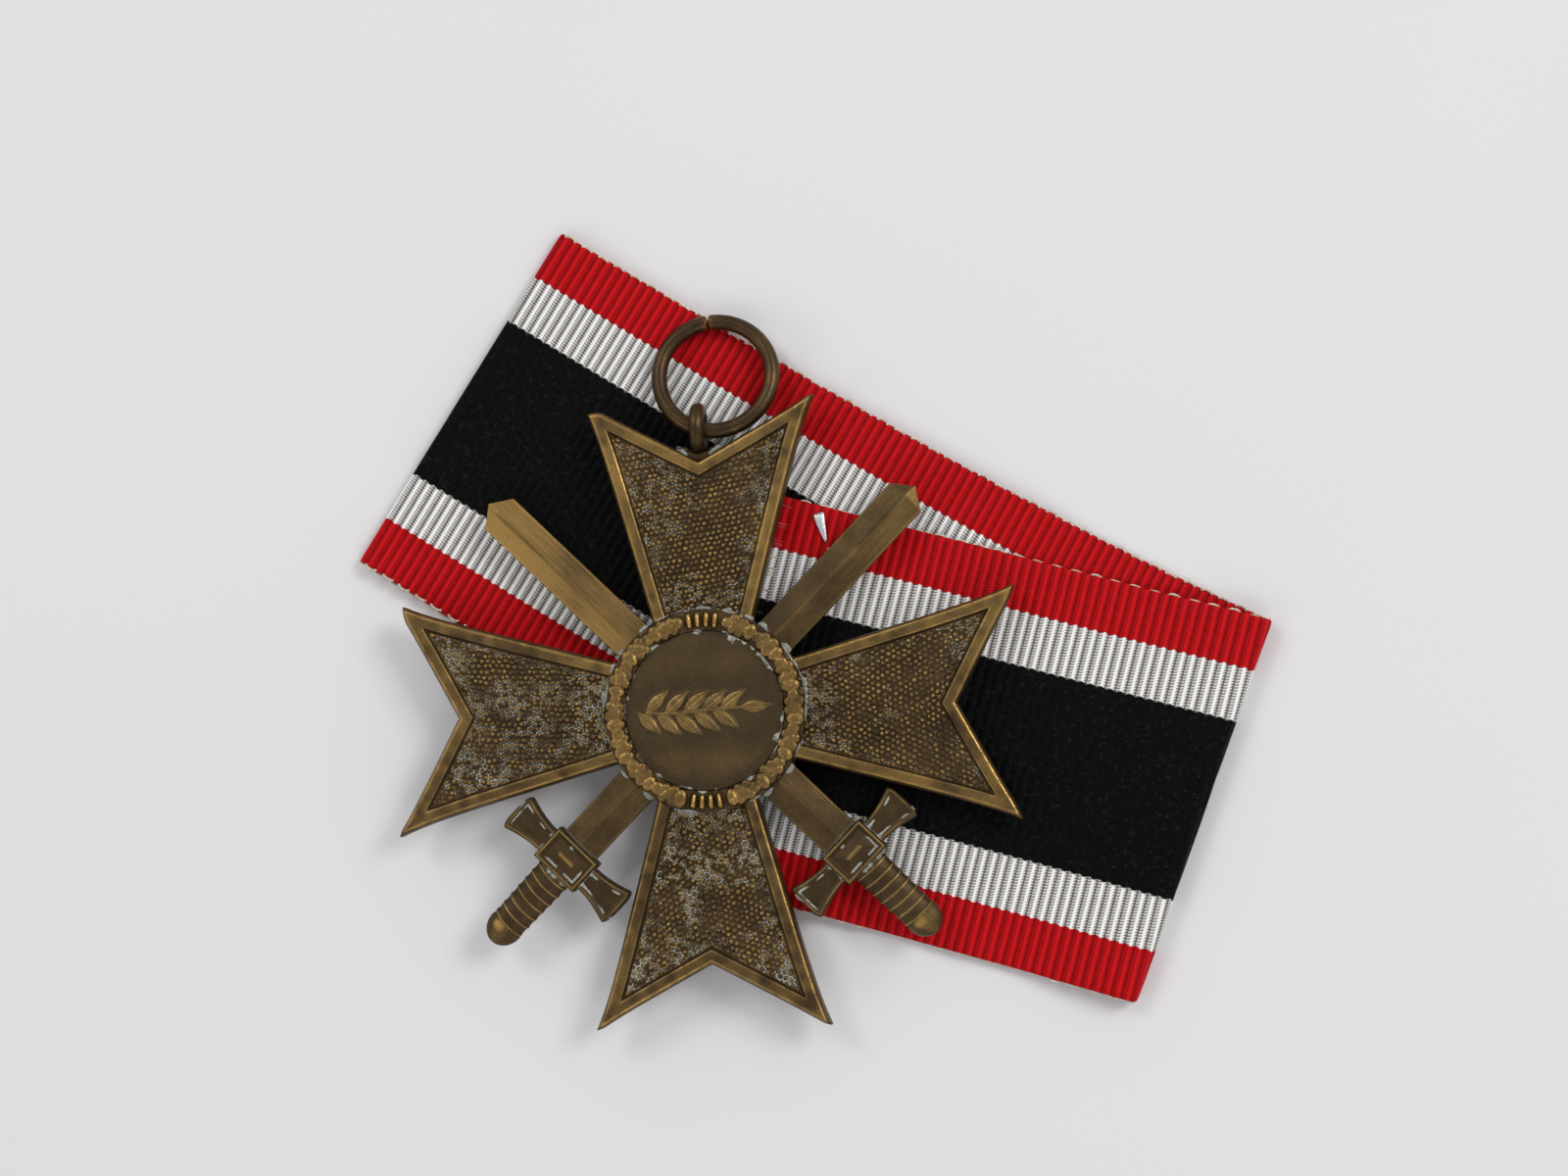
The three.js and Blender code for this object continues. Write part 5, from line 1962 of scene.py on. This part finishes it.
@dataclass
class Studio:
    """The table, the lights and the camera."""

    lamps: tuple[Lamp, ...] = (
        Lamp("right_light", (0.46, 0.26, 0.50), 0.26, 1.80),
        Lamp("left_light", (-0.32, 0.34, 0.50), 0.22, 0.84),
        Lamp("low_light", (0.16, -0.45, 0.50), 0.22, 0.38),
        Lamp("low_left_light", (-0.52, -0.28, 0.40), 0.24, 0.36),
    )
    side_strength: float = 0.62
    overhead_strength: float = 0.36
    side_height: float = 0.45
    surround_colour: tuple[float, float, float, float] = (0.99, 0.985, 1.0, 1.0)
    table_half: float = 2.0
    camera_place: tuple[float, float, float] = (25.11, -3.59, 182.44)
    right: tuple[float, float, float] = (0.99381, -0.02996, -0.10700)
    up: tuple[float, float, float] = (0.03720, 0.99710, 0.06637)
    back: tuple[float, float, float] = (0.10471, -0.06994, 0.99204)
    lens: float = 55.02

    def add_table(self) -> None:
        """Adds the table top, a wide flat plane just under the ribbon."""
        half = self.table_half
        mesh = bpy.data.meshes.new("table_top")
        corners = [(-half, -half, 0), (half, -half, 0), (half, half, 0), (-half, half, 0)]
        mesh.from_pydata(corners, [], [(0, 1, 2, 3)])
        table = bpy.data.objects.new("table_top", mesh)
        table.data.materials.append(Finish.TABLE.made())
        bpy.context.scene.collection.objects.link(table)

    def add_lamp(self, lamp: Lamp) -> None:
        """Adds one lamp, turned towards the object.

        Args:
            lamp: which lamp.
        """
        data = bpy.data.lights.new(lamp.name, "AREA")
        data.size = lamp.size
        data.energy = lamp.power
        light = bpy.data.objects.new(lamp.name, data)
        light.location = lamp.place
        light.rotation_euler = (-Vector(lamp.place)).to_track_quat("-Z", "Y").to_euler()
        bpy.context.scene.collection.objects.link(light)

    def add_world(self) -> None:
        """Adds a pale surround, a little darker overhead than at the sides."""
        world = bpy.data.worlds.new("pale_room")
        world.use_nodes = True
        surround = world.node_tree.nodes["Background"]
        tree = world.node_tree
        coords = tree.nodes.new("ShaderNodeTexCoord")
        parts = tree.nodes.new("ShaderNodeSeparateXYZ")
        height = tree.nodes.new("ShaderNodeMapRange")
        height.inputs["From Min"].default_value = self.side_height
        height.inputs["From Max"].default_value = 1.0
        height.inputs["To Min"].default_value = self.side_strength
        height.inputs["To Max"].default_value = self.overhead_strength
        tree.links.new(coords.outputs["Generated"], parts.inputs[0])
        tree.links.new(parts.outputs["Z"], height.inputs["Value"])
        tree.links.new(height.outputs["Result"], surround.inputs["Strength"])
        surround.inputs["Color"].default_value = self.surround_colour
        bpy.context.scene.world = world

    def add_camera(self) -> None:
        """Adds the camera, looking almost straight down."""
        data = bpy.data.cameras.new("camera")
        data.lens = self.lens
        data.sensor_width = FILM_WIDTH
        data.clip_start = 0.01
        camera = bpy.data.objects.new("camera", data)
        turned = Matrix((self.right, self.up, self.back)).transposed().to_4x4()
        camera.matrix_world = Matrix.Translation(Vector(self.camera_place) * MM) @ turned
        bpy.context.scene.collection.objects.link(camera)
        bpy.context.scene.camera = camera

    def make(self) -> None:
        """Sets the whole stage."""
        self.add_table()
        self.add_world()
        for lamp in self.lamps:
            self.add_lamp(lamp)
        self.add_camera()
        bpy.context.scene.view_settings.view_transform = "Standard"


def main() -> None:
    """Builds every sub-assembly in order."""
    logging.basicConfig(level=logging.INFO, format="%(name)s %(message)s")
    Studio().make()
    Ribbon().make()
    Staple().make()
    plate = CrossPlate()
    plate.make()
    for face, steps, lines, disc_steps in (("front", 1100, 30, 150), ("back", 560, 18, 70)):
        Wreath(plate, face).make(steps, lines)
        CentreDisc(plate, face).make(disc_steps)
    Sword(plate, 45.0).make_blade_end("blade_upper_right", "blade_end_right", 0.75, Finish.SWORD_RISING)
    Sword(plate, 135.0).make_blade_end("blade_upper_left", "blade_end_left", 1.0, Finish.SWORD_FALLING)
    Sword(plate, 225.0).make_hilt("hilt_lower_left", "hilt_left", Finish.SWORD_RISING)
    Sword(plate, 315.0).make_hilt("hilt_lower_right", "hilt_right", Finish.SWORD_FALLING)
    HangingEye(plate).make()
    SplitRing().make()


if __name__ == "__main__":
    main()
